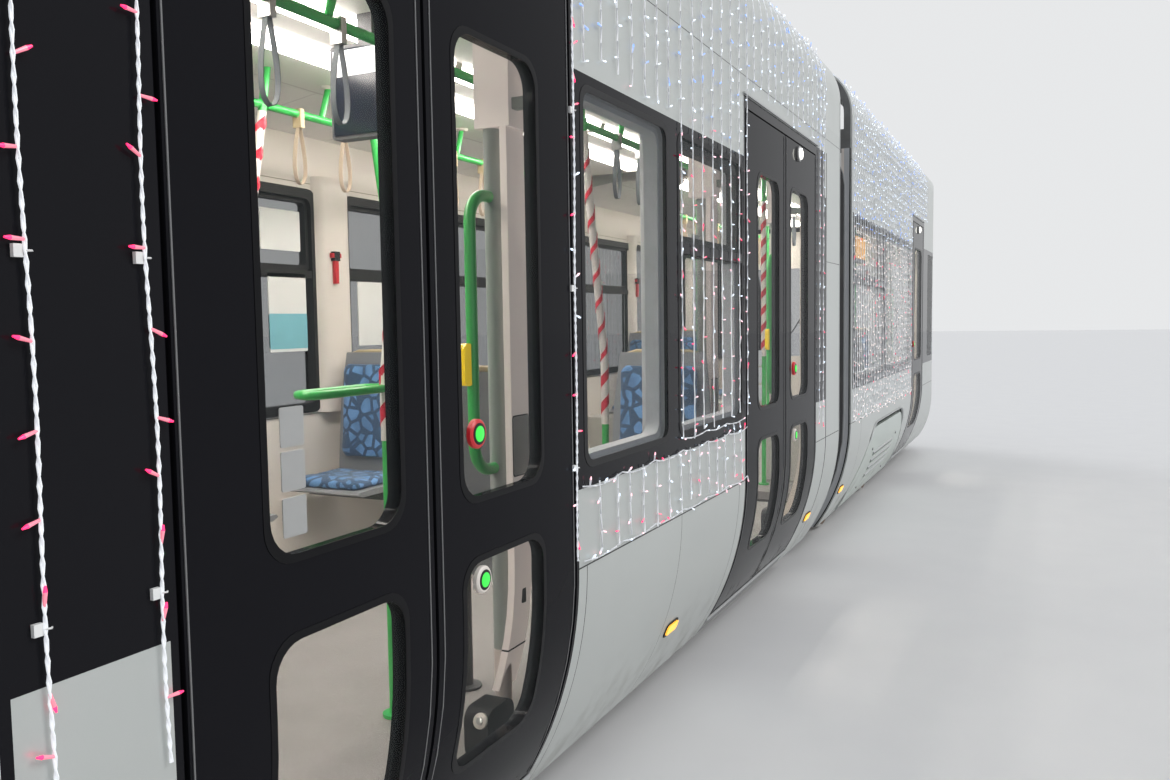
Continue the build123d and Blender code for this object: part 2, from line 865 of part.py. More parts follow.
# The apron under the bumper is a panel of its own, so that the tow eye can be reached
with BuildPart() as apron:
    add(nose_thick)
    box(mask_joint_x + fit, nose_front, -half_width, half_width, 0, bumper_z[0] - fit, Mode.INTERSECT)

with BuildPart() as nose_cap:
    add(nose_thick)
    cap_z = (wall_top + fit, nose_roof_z + 60)
    box(nose_start + fit, nose_front, -half_width, half_width, *cap_z, Mode.INTERSECT)

with BuildPart() as bumper:
    add(nose_thick)
    z0, z1 = bumper_z[0] + fit, bumper_z[1] - fit
    box(bumper_x + fit, nose_front, -half_width, half_width, z0, z1, Mode.INTERSECT)

side_panels = [nose_side_panel(side) for side in (-1, 1)]
with BuildPart() as nose_panels:
    add(side_panels)
    add(mask.part)
    add(apron.part)
    add(nose_cap.part)
    add(bumper.part)
save_pair(nose_panels.part, "front_nose", "rear_nose")

with BuildPart() as windscreen:
    add(nose_glass)
    screen_prism(fit, Mode.INTERSECT)

with BuildPart() as cab_side_glass:
    add(nose_glass)
    a, b = nose_window[0] + fit, nose_window[1] - fit
    side_prism(0, a, b, sill_z + fit, glass_top_z - fit, corner_radius, Mode.INTERSECT)


def lamp_glass(y):
    with BuildPart() as lens:
        add(nose_thick)
        lamp_block(y, fit, Mode.INTERSECT)
    return lens.part


a_panes = glass_panes(a_windows, a_doors)
lamp_glasses = [lamp_glass(y) for y in lamp_ys]
with BuildPart() as a_glazing:
    add(a_panes)
    add(windscreen.part)
    add(cab_side_glass.part)
    add(lamp_glasses)
save_pair(a_glazing.part, "front_cab_section_glazing", "rear_cab_section_glazing")

# The cab sections' floors reach forward under the cab, to the cross beam of the tow eye
cab_plate_end = 14640
tow_x = 14760
tow_z = (330, 370)
tow_bore = 22
tow_half = 70
tow_beam_x = 14200
cab_beam_half = 800
front_deck = bogie_floor(a_start, nose_start, bogie_x, [(outer_joint_x, -1)])
with BuildPart() as cab_plate:
    add(nose_inner)
    plate_z = (high_floor_z - floor_plate, high_floor_z)
    box(nose_start, cab_plate_end, -half_width, half_width, *plate_z, Mode.INTERSECT)

with BuildPart() as tow_eye:
    box(tow_beam_x + sole_half + fit, tow_x, -tow_half, tow_half, *tow_z)
    upright(tow_x, 0, *tow_z, tow_half)
    upright(tow_x, 0, *tow_z, tow_bore, Mode.SUBTRACT)

front_wheel_boxes = [wheel_box(bogie_x, side) for side in (-1, 1)]
with BuildPart() as a_floor:
    add(front_deck)
    add(cab_plate.part)
    a = bogie_x + podium_half_length
    beam_top = high_floor_z - floor_plate + 2
    for side in (-1, 1):
        band(side, floor_inset, floor_inset + sill_width, a, nose_start, under_z, beam_top)
        y0, y1 = side * sole_y - sole_half, side * sole_y + sole_half
        box(a, tow_beam_x, y0, y1, under_z + 15, beam_top)
    for x in (a + 60, a + 600, nose_start - 40, 13500, tow_beam_x):
        box(x - sole_half, x + sole_half, -cab_beam_half, cab_beam_half, under_z + 30, beam_top)
    add(tow_eye.part)
    add(front_wheel_boxes)
save_pair(a_floor.part, "front_cab_section_floor", "rear_cab_section_floor")


# Seats: a cushion and a back each, as side views drawn across
def chair(x, y, z, facing, width, tall):
    """A chair that faces +X (1) or -X (-1), over its floor point."""
    front, back = cushion_length / 2 + 30, -cushion_length / 2 + 30
    top = cushion_height + tall
    with BuildPart() as made:
        with BuildSketch(Plane(origin=(x, y, z), x_dir=(facing, 0, 0), z_dir=(0, -facing, 0))) as profile:
            with BuildLine():
                FilletPolyline(
                    (back, 0),
                    (back, cushion_height - 12),
                    (front, cushion_height),
                    (front, 0),
                    radius=[12, 30],
                )
                Line((back, 0), (front, 0))
            make_face()
            with BuildLine():
                foot = back - fit
                FilletPolyline(
                    (foot, 0),
                    (foot - back_lean, top),
                    (foot - back_lean - back_thickness, top),
                    (foot - back_thickness, 0),
                    radius=[22, 22],
                )
                Line((foot, 0), (foot - back_thickness, 0))
            make_face()
        extrude(profile.sketch, amount=width / 2, both=True)
    return made.part


# Seats over the wheels: x from the bogie's middle, and facing
podium_seats = [(-820, -1), (-250, 1), (250, -1), (820, 1)]


def podium_chairs(centre):
    chairs = [
        chair(centre + x, side * seat_y, podium_top + fit, facing, seat_width, back_height)
        for side in (-1, 1)
        for x, facing in podium_seats
    ]
    with BuildPart() as made:
        add(chairs)
    return made.part


save(podium_chairs(0), "middle_seats")
save_pair(podium_chairs(bogie_x), "front_cab_section_seats", "rear_cab_section_seats")

# Seats of a door section: x, side and facing
c_seats = [
    (first_door + door_width + 330, -1, 1),
    (second_door - 330, -1, -1),
    (c_start + 1000, 1, 1),
    (c_start + 1900, 1, -1),
    (c_start + 2500, 1, 1),
    (c_middle + 500, 1, -1),
    (c_end - 1900, 1, 1),
    (c_end - 1000, 1, -1),
]
seat_leg_y = 560


def seat_stand(x, side):
    """A cantilever from the wall with one leg at the aisle."""
    with BuildPart() as stand:
        box(x - 30, x + 30, side * 520, side * 1060, low_seat_z - 40, low_seat_z - fit)
        box(
            x - 45,
            x + 45,
            side * (seat_leg_y - 30),
            side * (seat_leg_y + 30),
            floor_z + fit,
            low_seat_z - 20,
        )
    return stand.part


c_chairs = [
    chair(x, side * seat_y, low_seat_z, facing, seat_width, back_height) for x, side, facing in c_seats
]
c_stands = [seat_stand(x, side) for x, side, facing in c_seats]
with BuildPart() as c_seating:
    add(c_chairs)
    add(c_stands)
save_pair(c_seating.part, "front_door_section_seats", "rear_door_section_seats")

# Cab: partition behind the driver, desk and driver's chair
partition_x = 12760
partition_thickness = 36
partition_panes = [(-1000, -420), (-300, 380), (500, 1000)]
desk_inset = 90
driver_x = 13330
driver_z = 880
pedestal_radius = 60
with BuildPart() as partition:
    depth = (partition_x, partition_x + partition_thickness)
    cabin_block(floor_inset + 1, *depth, high_floor_z + fit, cove_z - 1)
    for y0, y1 in partition_panes:
        box(partition_x - 5, partition_x + 50, y0, y1, sill_z, glass_top_z - 110, Mode.SUBTRACT)

desk_room = nose_block(desk_inset)
with BuildPart() as desk_top:
    add(desk_room)
    box(13950, 14700, -900, 900, 1040, 1085, Mode.INTERSECT)

with BuildPart() as desk_body:
    add(desk_room)
    box(14150, 14560, -700, 700, high_floor_z + fit, 1060, Mode.INTERSECT)

with BuildPart() as pedestal:
    upright(driver_x, 0, high_floor_z + fit, driver_z - fit, pedestal_radius)
    upright(driver_x, 0, high_floor_z + fit, high_floor_z + 30, 200)

driver_chair = chair(driver_x, 0, driver_z, 1, 480, 760)
with BuildPart() as cab:
    add(partition.part)
    add(desk_top.part)
    add(desk_body.part)
    box(13980, 14120, -260, 260, 1060, 1130)
    add(pedestal.part)
    add(driver_chair)
save_pair(cab.part, "front_cab", "rear_cab")

# Grab rails: posts from floor to ceiling, rails between them, and a bow beside each leaf
handle_z = (1250, 2040)
handle_reach = 130
handle_bend = 80


def leaf_handle(x, towards):
    """A handle bent out from the door column at x, towards the doorway's middle."""
    near, far = x + towards * (column_radius + fit), x + towards * handle_reach
    with BuildPart() as handle:
        with BuildLine(Plane.XZ.offset(column_y)) as path:
            FilletPolyline(
                (near, handle_z[0]),
                (far, handle_z[0]),
                (far, handle_z[1]),
                (near, handle_z[1]),
                radius=handle_bend,
            )
        with BuildSketch(Plane(origin=path.line @ 0, z_dir=path.line % 0)):
            Circle(post_radius)
        sweep(path=path.line)
    return handle.part


def leaning_post(x, lean, side, floor_height):
    """A post that stands upright at x and leans along the tram above, by lean at the ceiling."""
    with BuildPart() as post:
        with BuildLine(Plane.XZ.offset(-side * rail_y)) as path:
            FilletPolyline(
                (x, floor_height + fit),
                (x, lean_z),
                (x + lean, ceiling_z + post_radius),
                radius=lean_bend,
            )
        with BuildSketch(Plane(origin=path.line @ 0, z_dir=path.line % 0)):
            Circle(post_radius)
        sweep(path=path.line)
        reach = abs(lean) + post_foot_radius
        box(x - reach, x + reach, side * rail_y - reach, side * rail_y + reach, 0, ceiling_z - fit, Mode.INTERSECT)
    return post.part


def rail_end(x, lean, towards):
    """Where a ceiling rail ends beside a post, towards -1 or 1."""
    if lean:
        share = (rail_z - lean_z) / (ceiling_z + post_radius - lean_z)
        return x + lean * share + towards * (post_radius + lean_spare)
    return x + towards * (post_radius + fit)


def grab_rails(posts, floor_height, doors):
    """posts: for each side of the aisle (-1 right, 1 left), the x and the lean of each post."""
    handles = [leaf_handle(*place) for door in doors for place in column_places(*door)]
    leaning = [
        leaning_post(x, lean, side, floor_height) for side, places in posts for x, lean in places if lean
    ]
    with BuildPart() as made:
        add(leaning)
        for side, places in posts:
            y = side * rail_y
            for x, lean in places:
                if not lean:
                    upright(x, y, floor_height + fit, ceiling_z - fit, post_radius)
                upright(x, y, floor_height + fit, floor_height + 12, post_foot_radius)
            for (x0, lean0), (x1, lean1) in zip(places, places[1:]):
                rod((rail_end(x0, lean0, 1), y, rail_z), (rail_end(x1, lean1, -1), y, rail_z), post_radius)
        add(handles)
    return made.part


left_posts = (c_middle - 560, c_middle + 560)
c_posts = [
    (
        -1,
        [
            (first_door + 60, 0),
            (screen_xs[0], post_lean),
            (screen_xs[1], -post_lean),
            (second_door + door_width - 60, 0),
        ],
    ),
    (
        1,
        [
            (first_door + 60, 0),
            (left_posts[0], post_lean),
            (left_posts[1], -post_lean),
            (second_door + door_width - 60, 0),
        ],
    ),
]
a_posts = [(side, [(x, 0) for x in (a_start + 300, cab_door + 40, partition_x - 250)]) for side in (-1, 1)]
middle_posts = [(side, [(-middle_end + 250, 0), (middle_end - 250, 0)]) for side in (-1, 1)]
save_pair(
    grab_rails(c_posts, floor_z, c_doors), "front_door_section_rails", "rear_door_section_rails"
)
save_pair(
    grab_rails(a_posts, high_floor_z, a_doors), "front_cab_section_rails", "rear_cab_section_rails"
)
save(grab_rails(middle_posts, high_floor_z, []), "middle_rails")

# Covers over the wheels: thin panels with four louvres, a crescent of air left above
cover_gap = 6
cover_depth = 30
crescent = 34
louvre_count = 4
louvre_half = 520
louvre_pitch = 62
louvre_height = 22
louvre_top = 560
hinge_inset = (20, 44)
hinge_z = (230, 290)
hinge_length = 60


def bogie_covers(centre):
    ends = (centre - arch_bottom_half, centre + arch_bottom_half)
    with BuildPart() as made:
        for side in (-1, 1):
            band(side, 0, cover_depth, *ends, body_bottom, arch_top_z)
        arch_prism(centre, -cover_gap, crescent, Mode.INTERSECT)
        for n in range(louvre_count):
            z = louvre_top - n * louvre_pitch
            half = louvre_height / 2
            side_prism(0, centre - louvre_half, centre + louvre_half, z - half, z + half, 10, Mode.SUBTRACT)
        for side in (-1, 1):
            band(side, *hinge_inset, ends[0] + fit, ends[0] + hinge_length, *hinge_z)
            band(side, *hinge_inset, ends[1] - hinge_length, ends[1] - fit, *hinge_z)
    return made.part


save(bogie_covers(0), "middle_bogie_covers")
save_pair(bogie_covers(bogie_x), "front_bogie_covers", "rear_bogie_covers")

# Bogies: two side frames inside the wheels, with springs and track brakes, and the middle
# frame between them with a motor block beside each axle
frame_y = (575, 655)
frame_top = 500
frame_belly = 390
box_half = 110
box_drop = 95
spring_y = 600
brake_y = (690, 745)
brake_half = 430
brake_z = (34, 120)
cross_x = 250
cross_half = 55
motor_x = (300, 760)
motor_half = 260


def side_frame(centre, side):
    end = wheelbase / 2 + 150
    axle = wheelbase / 2
    half_profile = [
        (end, frame_top),
        (end, frame_belly - 40),
        (axle + box_half, axle_z - box_drop),
        (axle - box_half, axle_z - box_drop),
        (axle - box_half - 60, frame_belly),
    ]
    outline = half_profile + [(-x, z) for x, z in reversed(half_profile)]
    with BuildPart() as frame:
        plane = Plane(origin=(centre, side * frame_y[0], 0), x_dir=(1, 0, 0), z_dir=(0, -1, 0))
        with BuildSketch(plane) as profile:
            with BuildLine():
                FilletPolyline(*outline, radius=25, close=True)
            make_face()
        extrude(profile.sketch, amount=-side * (frame_y[1] - frame_y[0]))
        for n in (-1, 1):
            x = centre + n * spring_x
            upright(x, side * spring_y, frame_top - root_depth, spring_top - fit, spring_radius)
            x = centre + n * cross_x
            box(x - 30, x + 30, side * frame_y[0], side * brake_y[1], frame_belly - 60, frame_belly + 5)
            box(x - 30, x + 30, side * (brake_y[0] + 10), side * brake_y[1], brake_z[1] - 10, frame_belly)
        box(centre - brake_half, centre + brake_half, side * brake_y[0], side * brake_y[1], *brake_z)
        for n in (-1, 1):
            crossing = centre + n * axle
            crossbar(crossing, axle_z, 700, axle_radius + pin_gap, Mode.SUBTRACT)
    return frame.part


def middle_frame(centre):
    half = frame_y[0] - fit
    with BuildPart() as frame:
        for n in (-1, 1):
            x = centre + n * cross_x
            box(x - cross_half, x + cross_half, -half, half, frame_belly - 70, frame_belly - 5)
            box(centre + n * motor_x[0], centre + n * motor_x[1], -motor_half, motor_half, 200, 385)
        box(centre - cross_x, centre + cross_x, -60, 60, frame_belly - 60, frame_belly - 10)
    return frame.part


def bogie_frame(centre):
    pieces = [side_frame(centre, side) for side in (-1, 1)] + [middle_frame(centre)]
    with BuildPart() as made:
        add(pieces)
    return made.part


save(bogie_frame(0), "middle_bogie_frame")
save_pair(bogie_frame(bogie_x), "front_bogie_frame", "rear_bogie_frame")

# Wheelsets: two wheels pressed on an axle, turned as one piece. Profiles are y and radius.
web_y = (722, 752)
rim_depth = 48
axle_profile = [
    (0, axle_radius),
    (wheel_inner - 16, axle_radius),
    (wheel_inner - 12, hub_seat_radius),
    (wheel_inner + wheel_width - 2, hub_seat_radius),
    (wheel_inner + wheel_width - 2, 0),
]
wheel_profile = [
    (wheel_inner - 8, hub_seat_radius + fit),
    (wheel_inner - 8, hub_radius),
    (web_y[0], hub_radius + 4),
    (web_y[0], tread_radius - rim_depth - 6),
    (wheel_inner, tread_radius - rim_depth),
    (wheel_inner, tread_radius + 12),
    (wheel_inner + 6, tread_radius + flange_height - 3),
    (wheel_inner + 12, tread_radius + flange_height),
    (wheel_inner + 19, tread_radius + flange_height - 5),
    (wheel_inner + 28, tread_radius + 2),
    (wheel_inner + wheel_width - 8, tread_radius - 2),
    (wheel_inner + wheel_width, tread_radius - 10),
    (wheel_inner + wheel_width, tread_radius - rim_depth),
    (web_y[1], tread_radius - rim_depth - 6),
    (web_y[1], hub_radius + 4),
    (wheel_inner + wheel_width - 5, hub_radius),
    (wheel_inner + wheel_width - 5, hub_seat_radius + fit),
]


def turned(profile):
    """A solid turned about the Y axis from its outline."""
    with BuildPart() as made:
        with BuildSketch(Plane.YZ):
            with BuildLine():
                Polyline(*profile, close=True)
            make_face()
        revolve(axis=Axis.Y)
    return made.part


axle_left = [(-y, radius) for y, radius in reversed(axle_profile[1:])]
axle = turned(axle_left + axle_profile[1:])
wheels = [turned(wheel_profile), turned([(-y, radius) for y, radius in wheel_profile])]
with BuildPart() as wheelset:
    add(axle)
    add(wheels)
# Wheelsets: name, bogie's middle, end of the bogie
wheelset_places = [
    ("middle_front_wheelset", 0, 1),
    ("middle_rear_wheelset", 0, -1),
    ("front_leading_wheelset", bogie_x, 1),
    ("front_trailing_wheelset", bogie_x, -1),
    ("rear_leading_wheelset", -bogie_x, 1),
    ("rear_trailing_wheelset", -bogie_x, -1),
]
for name, centre, end in wheelset_places:
    save(Pos(centre + end * wheelbase / 2, 0, axle_z) * wheelset.part, name)

# Bellows: one folded sheet round each gangway, open below
bellows_middle = bellows_inset + bellows_depth / 2


def bellows(x0, x1):
    pitch = (x1 - x0 - 2 * fit) / bellows_folds
    outer, inner = [], []
    for n in range(bellows_folds):
        valley, crest = x0 + fit + n * pitch, x0 + fit + (n + 0.5) * pitch
        outer += [(valley, 0), (crest, bellows_fold_depth)]
        inner += [(valley, -bellows_sheet), (crest, bellows_fold_depth - 2 * bellows_sheet)]
    outer.append((x1 - fit, 0))
    inner.append((x1 - fit, -bellows_sheet))
    y = half_width - bellows_middle
    low = bellows_bottom
    turn = bellows_top - bellows_corner
    bow = bellows_corner * (1 - math.sqrt(0.5))
    with BuildPart() as made:
        with BuildLine() as path:
            half = (low + tuck_top) / 2
            low_y, half_y = side_y(bellows_middle, low), side_y(bellows_middle, half)
            ThreePointArc((0, -low_y, low), (0, -half_y, half), (0, -y, tuck_top))
            Line((0, -y, tuck_top), (0, -y, turn))
            ThreePointArc(
                (0, -y, turn),
                (0, -y + bow, bellows_top - bow),
                (0, -y + bellows_corner, bellows_top),
            )
            Line((0, -y + bellows_corner, bellows_top), (0, y - bellows_corner, bellows_top))
            ThreePointArc(
                (0, y - bellows_corner, bellows_top),
                (0, y - bow, bellows_top - bow),
                (0, y, turn),
            )
            Line((0, y, turn), (0, y, tuck_top))
            ThreePointArc((0, y, tuck_top), (0, half_y, half), (0, low_y, low))
        start_plane = Plane(origin=path.line @ 0, x_dir=(1, 0, 0), z_dir=path.line % 0)
        with BuildSketch(start_plane):
            with BuildLine():
                Polyline(*outer, *reversed(inner), close=True)
            make_face()
        sweep(path=path.line)
    return made.part


save_pair(bellows(middle_end, c_start), "inner_front_bellows", "inner_rear_bellows")
save_pair(bellows(c_end, a_start), "outer_front_bellows", "outer_rear_bellows")
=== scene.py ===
import math
import random

import bmesh
import bpy
from bpy.props import FloatProperty, FloatVectorProperty, PointerProperty
from mathutils import Matrix, Vector
from mathutils.bvhtree import BVHTree


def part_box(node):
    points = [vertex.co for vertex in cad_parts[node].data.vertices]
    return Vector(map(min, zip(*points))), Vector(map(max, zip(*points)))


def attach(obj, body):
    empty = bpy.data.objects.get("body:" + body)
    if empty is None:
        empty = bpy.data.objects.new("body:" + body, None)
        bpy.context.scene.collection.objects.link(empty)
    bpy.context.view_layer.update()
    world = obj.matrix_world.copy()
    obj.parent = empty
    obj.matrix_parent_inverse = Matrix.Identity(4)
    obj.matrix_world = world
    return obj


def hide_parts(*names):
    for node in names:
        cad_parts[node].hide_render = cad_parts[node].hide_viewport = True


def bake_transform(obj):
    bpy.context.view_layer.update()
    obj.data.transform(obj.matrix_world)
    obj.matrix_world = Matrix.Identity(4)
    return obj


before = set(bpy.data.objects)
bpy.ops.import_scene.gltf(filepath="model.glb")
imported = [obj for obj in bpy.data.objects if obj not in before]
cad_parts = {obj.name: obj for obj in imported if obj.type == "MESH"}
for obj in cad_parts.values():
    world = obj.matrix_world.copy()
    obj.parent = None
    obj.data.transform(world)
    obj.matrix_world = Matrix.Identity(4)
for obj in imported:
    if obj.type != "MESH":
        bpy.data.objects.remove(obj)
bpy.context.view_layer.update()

bl_info = {
    "name": "Articulated tram",
    "version": (1, 0),
    "blender": (4, 5, 0),
    "location": "3D View > Sidebar > Tram",
    "description": "Dresses the packed tram: paint, glass, seats, bellows, light strings and trim",
    "category": "Object",
}

# The body's side, in metres: upright above the tuck, round below it and at the shoulder
HALF_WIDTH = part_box("middle_walls")[1][1]
BODY_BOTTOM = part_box("middle_walls")[0][2]
WALL = 0.070
TUCK_TOP = 0.950
TUCK_DEPTH = 0.238
TUCK_RADIUS = (TUCK_DEPTH**2 + (TUCK_TOP - BODY_BOTTOM) ** 2) / (2 * TUCK_DEPTH)
TUCK_CENTRE = HALF_WIDTH - TUCK_RADIUS
SHOULDER_Z = 3.060
SHOULDER_RADIUS = 0.350
SHOULDER_Y = HALF_WIDTH - SHOULDER_RADIUS
FLOOR_Z = 0.380
HIGH_FLOOR_Z = 0.430
CEILING_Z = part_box("front_door_section_roof")[0][2] + 0.07
TROUGH_Z = 2.960

# Places along the leading half, in metres; the other half mirrors them
MIDDLE_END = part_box("middle_walls")[1][0]
DOOR_START, DOOR_END = (corner[0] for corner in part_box("front_door_section_walls"))
CAB_START, NOSE_START = (corner[0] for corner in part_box("front_cab_section_walls"))
NOSE_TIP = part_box("front_nose")[1][0]
DOOR_MIDDLE = (DOOR_START + DOOR_END) / 2
BOGIE_X = 10.350
WINDOW_Z = (1.250, 2.360)
BAND_Z = (1.180, 2.402)
PANEL_SEAMS = (0.944, 1.180)
DOOR_HEAD = 2.670
DOOR_Z = (0.290, 2.620)
DOOR_WIDTH = 1.430
DOORS = (DOOR_START + 0.700, DOOR_END - 0.700 - DOOR_WIDTH)
CAB_DOOR = (CAB_START + 3.190, 0.860)
LEAF_CLEARANCE = 0.012
POST_Y = 0.480
POST_RADIUS = 0.017
RAIL_Z = 2.575
LEAN_Z = 1.500
LEAN = 0.240

# Windows: for each kind of section, side (-1 right, 1 left), start, end, and 1 with a hopper
WINDOWS = {
    "middle": [(side, a, b, 1) for side in (-1, 1) for a, b in ((-1.600, -0.030), (0.030, 1.600))],
    "door_section": [
        (-1, DOORS[0] + 1.505, DOORS[0] + 2.195, 0),
        (-1, DOORS[1] - 0.855, DOORS[1] - 0.055, 1),
        (1, DOOR_START + 0.500, DOOR_MIDDLE - 0.880, 1),
        (1, DOOR_MIDDLE - 0.620, DOOR_MIDDLE + 0.620, 1),
        (1, DOOR_MIDDLE + 0.880, DOOR_END - 0.500, 1),
    ],
    "cab_section": [
        (side, CAB_START + a, CAB_START + b, hopper)
        for side in (-1, 1)
        for a, b, hopper in ((0.130, 1.450, 1), (1.520, 3.000, 0))
    ]
    + [(1, CAB_START + 3.070, NOSE_START - 0.060, 0)],
}
SECTIONS = {"middle": (-MIDDLE_END, MIDDLE_END), "door_section": (DOOR_START, DOOR_END)}
SECTIONS["cab_section"] = (CAB_START, NOSE_START)


# Spans along the side, in metres from the tram's middle, on both halves alike
GLAZED = ((-1.66, 1.66), (2.574, 7.726), (8.60, 20.0))
DOOR_FRAMES = ((2.61, 4.30), (6.0, 7.69), (11.69, 12.65))
DOOR_EDGES = ((2.835, 4.295), (6.005, 7.465), (11.72, 12.62))
DOOR_PANES = ((2.85, 4.28), (6.02, 7.45), (11.74, 12.60))
CORNER_SEAMS = ((2.555, 2.574), (7.726, 7.745))
CORNER_PILLARS = ((7.745, 8.16), (2.14, 2.555))
PANEL_JOINTS = (4.35, 5.92, 8.98, 11.66)
PARTITION_X = 12.72
AXLE_Z = 0.324
UP = (0, 0, 1)
AHEAD = (1, 0, 0)


def skin_y(z, out=0.0):
    """Half width of the body at height z, for a face that stands out by out."""
    if z >= SHOULDER_Z:
        rise = min(z - SHOULDER_Z, SHOULDER_RADIUS + out)
        return SHOULDER_Y + math.sqrt(max(0.0, (SHOULDER_RADIUS + out) ** 2 - rise**2))
    if z >= TUCK_TOP:
        return HALF_WIDTH + out
    return TUCK_CENTRE + math.sqrt((TUCK_RADIUS + out) ** 2 - (TUCK_TOP - z) ** 2)


class Wire:
    """A shader socket that can be used in Python expressions."""

    def __init__(self, look, socket):
        self.look = look
        self.socket = socket

    def math(self, operation, *others):
        return self.look.node("ShaderNodeMath", {"operation": operation}, [self, *others])

    def __add__(self, other):
        return self.math("ADD", other)

    __radd__ = __add__

    def __sub__(self, other):
        return self.math("SUBTRACT", other)

    def __rsub__(self, other):
        return self.look.node("ShaderNodeMath", {"operation": "SUBTRACT"}, [other, self])

    def __mul__(self, other):
        return self.math("MULTIPLY", other)

    __rmul__ = __mul__

    def __truediv__(self, other):
        return self.math("DIVIDE", other)

    def __abs__(self):
        return self.math("ABSOLUTE")

    def __lt__(self, other):
        return self.math("LESS_THAN", other)

    def __gt__(self, other):
        return self.math("GREATER_THAN", other)

    def root(self):
        return self.math("SQRT")

    def fract(self):
        return self.math("FRACT")

    def most(self, other):
        return self.math("MAXIMUM", other)

    def within(self, *spans):
        """1 in any of the spans."""
        first, *rest = (self.between(*span) for span in spans)
        for span in rest:
            first = first.most(span)
        return first

    def between(self, low, high):
        """1 from low to high, 0 outside."""
        return (self > low) * (self < high)

    def near(self, place, reach):
        """1 within reach of place."""
        return abs(self - place) < reach

    def on_lines(self, reach, *places):
        """1 within reach of any of the places."""
        first, *rest = (self.near(place, reach) for place in places)
        for line in rest:
            first = first.most(line)
        return first

    def smooth(self, low, high):
        """0 below low, 1 above high, smooth between."""
        settings = {"interpolation_type": "SMOOTHSTEP"}
        return self.look.node("ShaderNodeMapRange", settings, [self, low, high, 0.0, 1.0])


class Look:
    """The nodes of one material, or of the world."""

    def __init__(self, name, holder=None):
        self.holder = holder or bpy.data.materials.new(name)
        self.holder.use_nodes = True
        self.tree = self.holder.node_tree
        self.tree.nodes.clear()

    def feed(self, socket, value):
        if isinstance(value, Wire):
            self.tree.links.new(value.socket, socket)
        elif socket.type == "RGBA" and len(value) == 3:
            socket.default_value = (*value, 1.0)
        else:
            socket.default_value = value

    def node(self, kind, settings=None, inputs=(), output=0, **named):
        """Any node: its settings are set first, then its sockets by their order or by name."""
        made = self.tree.nodes.new(kind)
        for key, value in (settings or {}).items():
            setattr(made, key, value)
        numbered = inputs if isinstance(inputs, dict) else dict(enumerate(inputs))
        for key, value in numbered.items():
            self.feed(made.inputs[key], value)
        for key, value in named.items():
            self.feed(made.inputs[key.replace("_", " ")], value)
        return Wire(self, made.outputs[output]) if made.outputs else None

    def point(self):
        return self.node("ShaderNodeTexCoord", output="Object")

    def place(self):
        """The point in the tram's own frame, as x, y and z."""
        split = self.node("ShaderNodeSeparateXYZ", None, [self.point()]).socket.node
        return [Wire(self, output) for output in split.outputs]

    def blend(self, factor, low, high):
        """The colour low where factor is 0, high where it is 1."""
        sockets = {0: factor, 6: low, 7: high}
        return self.node("ShaderNodeMix", {"data_type": "RGBA"}, sockets, output=2)

    def noise(self, scale, detail=3.0):
        grain = {"Vector": self.point(), "Scale": scale, "Detail": detail}
        return self.node("ShaderNodeTexNoise", output="Fac", **grain)

    def edges_of_cells(self, scale):
        settings = {"feature": "DISTANCE_TO_EDGE"}
        grain = {"Vector": self.point(), "Scale": scale}
        return self.node("ShaderNodeTexVoronoi", settings, output="Distance", **grain)

    def bump(self, height, strength=0.2, distance=0.001):
        return self.node("ShaderNodeBump", Strength=strength, Distance=distance, Height=height)

    def finished(self, kind, shader):
        """Leads a shader to the output node, and gives the material or the world."""
        self.node(kind, None, [shader])
        return self.holder

    def surface(self, **named):
        shader = self.node("ShaderNodeBsdfPrincipled", **named)
        return self.finished("ShaderNodeOutputMaterial", shader)


def inward(y, z):
    """How far in from the body's outer face a point lies."""
    reach = abs(y)
    below, above = TUCK_TOP - z, z - SHOULDER_Z
    tuck_reach, shoulder_reach = reach - TUCK_CENTRE, reach - SHOULDER_Y
    tuck = TUCK_RADIUS - (tuck_reach * tuck_reach + below * below).root()
    shoulder = SHOULDER_RADIUS - (shoulder_reach * shoulder_reach + above * above).root()
    straight = HALF_WIDTH - reach
    return straight + (z < TUCK_TOP) * (tuck - straight) + (z > SHOULDER_Z) * (shoulder - straight)


def colours():
    return bpy.context.scene.tram_colours


def sizes():
    return bpy.context.scene.tram_sizes


def shade(colour, share):
    return tuple(min(1.0, part * share) for part in colour)


# Finishes. Position masks tell outer paint from linings on the CAD nodes.
BLACK_GLOSS = (0.009, 0.009, 0.011)
SEAM_DARK = (0.03, 0.03, 0.03)


def road_dirt(look, z):
    """How dirty the side is: most at its foot, in patches."""
    return (1 - z.smooth(0.22, 0.62)) * look.noise(7.0, 5.0).smooth(0.38, 0.80) * 0.45


def silver(look, z, patch_scale=1.4):
    """Satin silver with faint patches, and road dirt towards the bottom edge."""
    base, dirt = colours().silver, road_dirt(look, z)
    patches = look.noise(patch_scale, 4.0)
    flakes = look.noise(900.0, 1.0)
    paint = look.blend(patches, shade(base, 0.93), shade(base, 1.06))
    paint = look.blend(flakes * 0.25, paint, shade(base, 1.2))
    return look.blend(dirt, paint, (0.20, 0.185, 0.16)), patches, dirt


